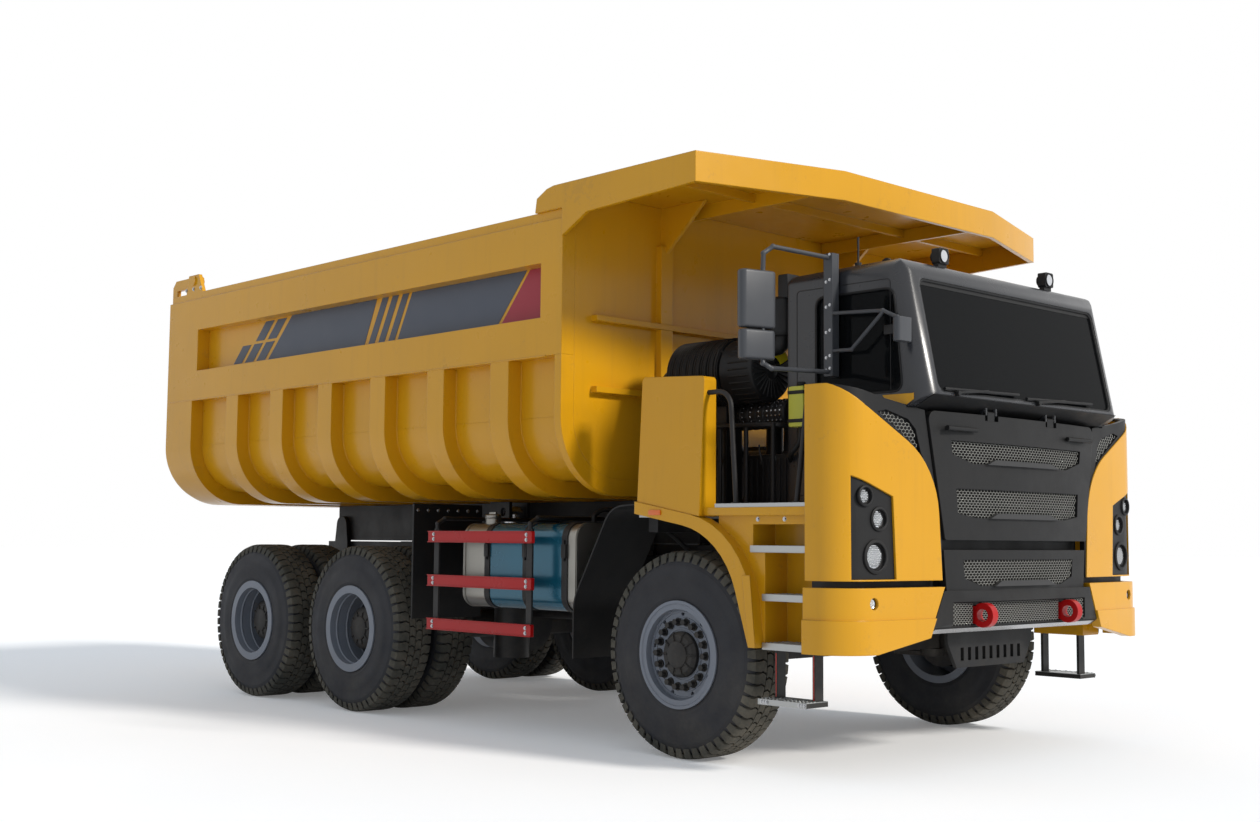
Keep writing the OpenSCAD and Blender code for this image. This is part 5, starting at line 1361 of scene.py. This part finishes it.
def make_engine_side():
    """Air cleaner, header tank and hoses beside the cab."""
    bm = bmesh.new()
    # Ribs and clamps of the air cleaner's cover
    place = Matrix.Translation(at(0.0, CLEANER_Y, CLEANER_Z)) @ AHEAD
    for k in range(22):
        x = -0.405 + k * 0.0215
        add_lathe(bm, [(0.2425, x - 0.005), (0.2475, x - 0.002), (0.2475, x + 0.002),
                       (0.2425, x + 0.005)], place, 56)
    cover = [(0.2, 0.06), (0.226, 0.075), (0.228, 0.1), (0.212, 0.125), (0.212, 0.325), (0.203, 0.345),
             (0.19, 0.3505), (0.06, 0.3515), (0.05, 0.359), (0.0005, 0.36)]
    add_lathe(bm, cover, place, 56)
    for a in turns(28):
        out = Vector((0, math.cos(a), math.sin(a)))
        cleaner_bar(bm, out, 0.3515, 0.06, 0.3505, 0.188, 0.005)
        cleaner_bar(bm, out, 0.14, 0.212, 0.32, 0.212, 0.005)
    for a in (0.6, 2.5, 4.3):
        out = Vector((0, math.cos(a), math.sin(a)))
        cleaner_bar(bm, out, 0.03, 0.24, 0.075, 0.21, 0.011)
    # Intake bowl on its elbow
    up = Matrix.Translation(at(0.445, CLEANER_Y, 0))
    add_lathe(bm, [(0.0005, 2.81), (0.085, 2.81), (0.098, 2.83), (0.1, 2.85), (0.1, 3.02), (0.092, 3.055),
                   (0.06, 3.075), (0.0005, 3.08)], up, 40)
    elbow = ((0.445, 2.83), (0.435, 2.76), (0.38, 2.74), (0.30, 2.77))
    add_hose(bm, [(x, CLEANER_Y, z) for x, z in elbow], 0.055, 16)
    add_box(bm, (0.455, -1.16, 3.06), (0.545, -1.03, 3.225), 0.02)
    piece("cleaner_ribs", bm, BLACK_PLASTIC, "chassis")
    bm = bmesh.new()
    sweep = [math.radians(28 + k * 6.5) for k in range(9)]
    inner, outer = ([at(0.3565, CLEANER_Y + r * math.cos(a), CLEANER_Z + r * math.sin(a)) for a in sweep]
                    for r in (0.095, 0.188))
    add_plate(bm, inner + outer[::-1], Vector((0.0015, 0, 0)))
    piece("cleaner_sticker", bm, LABEL_YELLOW, "chassis")
    bm = bmesh.new()
    # Coolant header tank on the cab's side
    add_box(bm, (0.672, -1.305, 2.175), (0.797, -1.19, 2.442), 0.018)
    piece("header_tank", bm, COOLANT, "chassis")
    bm = bmesh.new()
    add_box(bm, (0.69, -1.192, 2.20), (0.78, -1.172, 2.42), 0.004)
    for z in (2.215, 2.40):
        add_box(bm, (0.6685, -1.308, z - 0.012), (0.8005, -1.188, z + 0.012), 0.003)
    add_lathe(bm, [(0.026, 0), (0.03, 0.006), (0.03, 0.026), (0.022, 0.032), (0.0005, 0.033)],
              Matrix.Translation(at(0.735, -1.247, 2.44)), 20)
    # Hoses from the cleaner and the header tank to the engine
    add_hose(bm, [(-0.53, CLEANER_Y, CLEANER_Z), (-0.62, -1.08, 2.58), (-0.68, -0.9, 2.45),
                  (-0.66, -0.5, 2.2), (-0.64, -0.3, 2.06)], 0.07, 14, 8)
    add_hose(bm, [(0.735, -1.25, 2.18), (0.72, -1.25, 2.08), (0.6, -1.2, 1.98), (0.4, -0.8, 1.9),
                  (0.3, -0.32, 1.9)], 0.019, 10, 8)
    for k in range(3):
        add_hose(bm, [(0.1 - 0.2 * k, -0.33, 1.5 + 0.1 * k), (0.1 - 0.2 * k, -0.5, 1.7),
                      (0.05 - 0.15 * k, -0.62, 1.8), (-0.05 - 0.1 * k, -0.8, 1.64)], 0.014, 8)
    piece("engine_hoses", bm, BLACK_PLASTIC, "chassis")


make_engine_side()


def make_filter_bank():
    """Filters and oil tank that stand on the deck behind the cab."""
    bm = bmesh.new()
    add_box(bm, (0.02, -0.98, 1.665), (0.50, -0.64, 2.03), 0.02)
    for k in range(9):
        x = 0.05 + k * 0.053
        add_box(bm, (x, -0.99, 1.70), (x + 0.018, -0.63, 2.0), 0.004)
    place = Matrix.Translation(at(0, -1.0, 2.30)) @ AHEAD
    add_lathe(bm, [(0.0005, -0.06), (0.085, -0.06), (0.095, -0.05), (0.095, 0.44), (0.085, 0.45),
                   (0.0005, 0.45)], place, 36)
    for k in range(7):
        x = -0.02 + k * 0.07
        add_lathe(bm, [(0.094, x - 0.012), (0.101, x - 0.008), (0.101, x + 0.008), (0.094, x + 0.012)],
                  place, 36)
    for x in (0.12, 0.28, 0.44):
        up = Matrix.Translation(at(x, -0.8, 2.02))
        add_lathe(bm, [(0.0005, 0), (0.066, 0), (0.066, 0.035), (0.06, 0.045), (0.06, 0.24), (0.05, 0.26),
                       (0.0005, 0.262)], up, 28)
    pipe = [(-0.25, -1.2, 2.23), (0.0, -1.22, 2.22), (0.44, -1.2, 2.21), (0.5, -1.05, 2.2)]
    add_hose(bm, pipe, 0.017, 8)
    for x in (-0.02, 0.22, 0.46):
        add_tube(bm, [at(x, -1.21, 1.62), at(x, -1.21, 2.225)], 0.016, 8)
    for k in range(6):
        x = -0.2 + k * 0.13
        add_hose(bm, [(x, -1.19, 2.08), (x + 0.012, -1.2, 2.03), (x + 0.03, -1.2, 1.98),
                      (x + 0.015, -1.19, 1.95)], 0.006, 6, 4)
    piece("filter_bank", bm, BLACK_STEEL, "chassis")
    spots = []
    for k in range(12):
        for j in range(7):
            a = math.radians(-150 - j * 20)
            out = Vector((0, math.cos(a), math.sin(a)))
            spots.append((at(k * 0.038, -1.0, 2.30) + out * 0.0955, tuple(out)))
    fasteners("filter_studs", spots, "chassis", STEEL, 0.005, 0.004, 6, 1.3)


make_filter_bank()


# Bed details


# Rear edge of the rearmost rib and the distance between ribs
RIB_START, RIB_PITCH = -5.479, 0.776


def make_bed_trim():
    """Bolts of the tailgate's brackets and weld beads of the bed."""
    bolts = [(at(x, 1.966, 3.79), (0, 1, 0)) for x in (-6.34, -6.2, -6.06)]
    fasteners("gate_bracket_bolts", both_sides(bolts), "bed", STEEL, 0.013, 0.01)
    bm = bmesh.new()
    # Weld beads under the belt rail and along the top rail
    for z, y in ((2.7195, 1.978), (3.6805, 1.9668)):
        add_tube(bm, [at(-6.58 + k * 0.2, y, z) for k in range(29)], 0.007, 6)
    # Weld beads down both sides of each rib
    for k in range(6):
        for dx in (-0.003, 0.213):
            x = RIB_START + k * RIB_PITCH + dx
            pts = [at(x, 1.8612, 2.71), at(x, 1.8612, 2.30)]
            for j in range(9):
                a = math.radians(-j * 11.25)
                pts.append(at(x, 1.43 + 0.4312 * math.cos(a), 2.295 + 0.4312 * math.sin(a)))
            add_tube(bm, pts, 0.006, 6)
    mirrored(bm)
    # Weld beads along the front wall's braces
    for z in (2.469, 2.511, 2.976, 3.018):
        add_tube(bm, [at(-0.809, -1.69 + 0.26 * k, z) for k in range(14)], 0.006, 6)
    piece("bed_weld_beads", bm, YELLOW, "bed")


make_bed_trim()


# Seats


SEAT_Y = 0.52
# Filling of a pad: pressure, frames, and how far a point may move
FILL_PRESSURE, FILL_FRAMES, FILL_CAP = 4.0, 20, 0.022
SKIN_STEP, QUICK_SKIN_STEP = 0.006, 0.012
SEAM_DEPTH, SEAM_WIDTH = 0.007, 0.009
# Pads of the left seat: name, two corners, lean, sewn channels as axis and place
SEAT_PADS = [("cushion", (0.700, 0.263, 2.0), (1.230, 0.777, 2.134), 0.0,
              [(1, 0.37), (1, 0.67), (0, 0.97), (2, 2.085)]),
             ("back", (0.730, 0.273, 2.146), (0.834, 0.767, 2.782), 0.105,
              [(1, 0.38), (1, 0.66), (2, 2.36), (2, 2.57)]),
             ("headrest", (0.694, 0.383, 2.804), (0.770, 0.657, 2.958), 0.06,
              [(1, 0.44), (1, 0.60)])]
# The seats' blocks all end behind this
SEAT_FRONT = 1.24


def pad_mesh(name, lo, hi, lean=0.0):
    """Closed block for a cushion, a little small, leaning back along its height."""
    bm = bmesh.new()
    add_box(bm, lo, hi, 0.02)
    for v in bm.verts:
        v.co.x -= lean * (v.co.z - lo[2])
    return mesh_object(name, bm)


def swell(o, cap):
    """Lets a closed pad fill out under pressure, no point moving further than cap."""
    remesh = o.modifiers.new("even skin", "REMESH")
    remesh.mode = "VOXEL"
    remesh.voxel_size = SKIN_STEP
    deps = bpy.context.evaluated_depsgraph_get()
    o.data = bpy.data.meshes.new_from_object(o.evaluated_get(deps), depsgraph=deps)
    o.modifiers.clear()
    start = [v.co.copy() for v in o.data.vertices]
    cloth = o.modifiers.new("filling", "CLOTH")
    cloth.settings.use_pressure = True
    cloth.settings.uniform_pressure_force = FILL_PRESSURE
    cloth.settings.effector_weights.gravity = 0.0
    cloth.settings.quality = 4
    cloth.point_cache.frame_start = 1
    cloth.point_cache.frame_end = FILL_FRAMES
    scene = bpy.context.scene
    for f in range(1, FILL_FRAMES + 1):
        scene.frame_set(f)
    deps = bpy.context.evaluated_depsgraph_get()
    filled = [v.co.copy() for v in o.evaluated_get(deps).data.vertices]
    o.modifiers.clear()
    scene.frame_set(1)
    for v, a, b in zip(o.data.vertices, start, filled):
        move = b - a
        v.co = a + (move.normalized() * cap if move.length > cap else move)


def sew(o, channels):
    """Draws the skin in along sewn channels, each an axis and a place on it."""
    normals = [v.normal.copy() for v in o.data.vertices]
    for v, n in zip(o.data.vertices, normals):
        pull = max(math.exp(-((v.co[axis] - spot) / SEAM_WIDTH) ** 2) for axis, spot in channels)
        v.co -= n * SEAM_DEPTH * pull


def without_seats(bm):
    """Takes the seats' plain blocks out of the cab's fittings."""
    left = set(bm.verts)
    while left:
        island, edge = set(), [left.pop()]
        while edge:
            v = edge.pop()
            island.add(v)
            for e in v.link_edges:
                w = e.other_vert(v)
                if w in left:
                    left.discard(w)
                    edge.append(w)
        if max(v.co.x for v in island) < SHIFT_X + SEAT_FRONT:
            bmesh.ops.delete(bm, geom=list(island), context="VERTS")


def make_seats():
    """Pedestals and six padded pieces in place of the seats' blocks."""
    resmoothed("cab_interior", without_seats)
    bm = bmesh.new()
    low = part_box("cab_interior")[0][2]
    # Pedestals with their slide rails and the posts of the headrests
    for y in (SEAT_Y, -SEAT_Y):
        add_box(bm, (0.76, y - 0.19, low), (1.18, y + 0.19, 1.965), 0.012)
        for side in (-0.15, 0.15):
            add_box(bm, (0.73, y + side - 0.022, 1.966), (1.2, y + side + 0.022, 1.996), 0.004)
            add_tube(bm, [at(0.742, y + side * 0.4, z) for z in (2.7, 2.78, 2.85)], 0.007, 10)
    piece("seat_pedestals", bm, HARD_TRIM, "chassis")
    for label, lo, hi, lean, channels in SEAT_PADS:
        first = pad_mesh("seat_%s_left" % label, lo, hi, lean)
        swell(first, FILL_CAP)
        sew(first, [(axis, spot + (SHIFT_X if axis == 0 else 0)) for axis, spot in channels])
        for f in first.data.polygons:
            f.use_smooth = True
        second = linked("seat_%s_right" % label, first.data.copy())
        second.data.transform(Matrix.Translation((0, -2 * SEAT_Y, 0)))
        for o in (first, second):
            o.data.materials.clear()
            o.data.materials.append(FABRIC)
            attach(o, "chassis")


make_seats()


# Camera, light and floor


# Camera of the photograph: place, yaw, pitch and roll in degrees, focal length and width in pixels
CAMERA_SPOT = (7.1139, -8.848, 1.4391)
CAMERA_TURN = (136.457, 4.83, 0.461)
FOCAL_PX, PHOTO_PX, SENSOR_MM = 1519.63, 1260, 36.0
SUN_FROM, SUN_LEVEL, SUN_WIDTH = (0.84, 0.2, 0.5), 2.9, 9
SUN_TONE = (1.0, 0.96, 0.9)
SKY_TONE, SKY_LEVEL = (0.80, 0.89, 1.0, 1), 0.57
FLOOR_HALF = 150


def set_camera():
    """Camera at the photograph's own place and angle."""
    yaw, pitch, roll = (math.radians(a) for a in CAMERA_TURN)
    ahead = Vector((math.cos(pitch) * math.cos(yaw), math.cos(pitch) * math.sin(yaw), math.sin(pitch)))
    right = ahead.cross(Vector((0, 0, 1))).normalized()
    up = right.cross(ahead)
    c, s = math.cos(roll), math.sin(roll)
    right, up = right * c + up * s, up * c - right * s
    data = bpy.data.cameras.new("camera")
    data.sensor_fit = "HORIZONTAL"
    data.sensor_width = SENSOR_MM
    data.lens = FOCAL_PX / PHOTO_PX * SENSOR_MM
    data.clip_end = 400.0
    cam = linked("camera", data)
    turn = Matrix((right, up, -ahead)).transposed().to_4x4()
    cam.matrix_world = Matrix.Translation(at(*CAMERA_SPOT)) @ turn
    bpy.context.scene.camera = cam


def seen_ray(t):
    """One for rays that should meet the white background."""
    path = t.node("ShaderNodeLightPath")
    seen = t.math("MAXIMUM", path.outputs["Is Camera Ray"], path.outputs["Is Glossy Ray"])
    return t.math("MAXIMUM", seen, path.outputs["Is Transmission Ray"])


def set_light():
    """Soft sky, one wide sun, and a white background."""
    scene = bpy.context.scene
    scene.view_settings.view_transform = "Standard"
    world = bpy.data.worlds.new("studio")
    scene.world = world
    world.use_nodes = True
    t = Tree(world.node_tree)
    sky = world.node_tree.nodes["Background"]
    sky.inputs[0].default_value = SKY_TONE
    sky.inputs[1].default_value = SKY_LEVEL
    white = t.node("ShaderNodeBackground", Color=(1, 1, 1, 1), Strength=1.0)
    choice = t.node("ShaderNodeMixShader")
    t.feed(choice.inputs[0], seen_ray(t))
    t.feed(choice.inputs[1], sky.outputs[0])
    t.feed(choice.inputs[2], white.outputs[0])
    t.feed(world.node_tree.nodes["World Output"].inputs[0], choice.outputs[0])
    sun = bpy.data.lights.new("key", "SUN")
    sun.energy = SUN_LEVEL
    sun.angle = math.radians(SUN_WIDTH)
    sun.color = SUN_TONE
    key = linked("key", sun)
    key.rotation_euler = Vector(SUN_FROM).to_track_quat("Z", "Y").to_euler()


def set_floor():
    """Pale ground that takes the shadow."""
    me = bpy.data.meshes.new("floor")
    corners = [(x * FLOOR_HALF, y * FLOOR_HALF, 0) for x, y in ((-1, -1), (1, -1), (1, 1), (-1, 1))]
    me.from_pydata(corners, [], [(0, 1, 2, 3)])
    floor = linked("floor", me)
    m, t, shader = new_material("pale floor")
    spot = t.node("ShaderNodeTexCoord").outputs["Object"]
    tone = t.ramp(t.noise(spot, 0.4, 4.0), 0.3, 0.7)
    t.feed(shader.inputs["Base Color"], t.mix(tone, (0.92, 0.92, 0.92, 1), (0.95, 0.95, 0.95, 1)))
    # Seen directly, the floor is lifted to the white of the background
    lift = t.mix(seen_ray(t), (0, 0, 0, 1), (0.16, 0.16, 0.16, 1))
    t.fill(shader, Roughness=0.9, Emission_Color=lift, Emission_Strength=1.0)
    me.materials.append(m)


set_camera()
set_light()
set_floor()
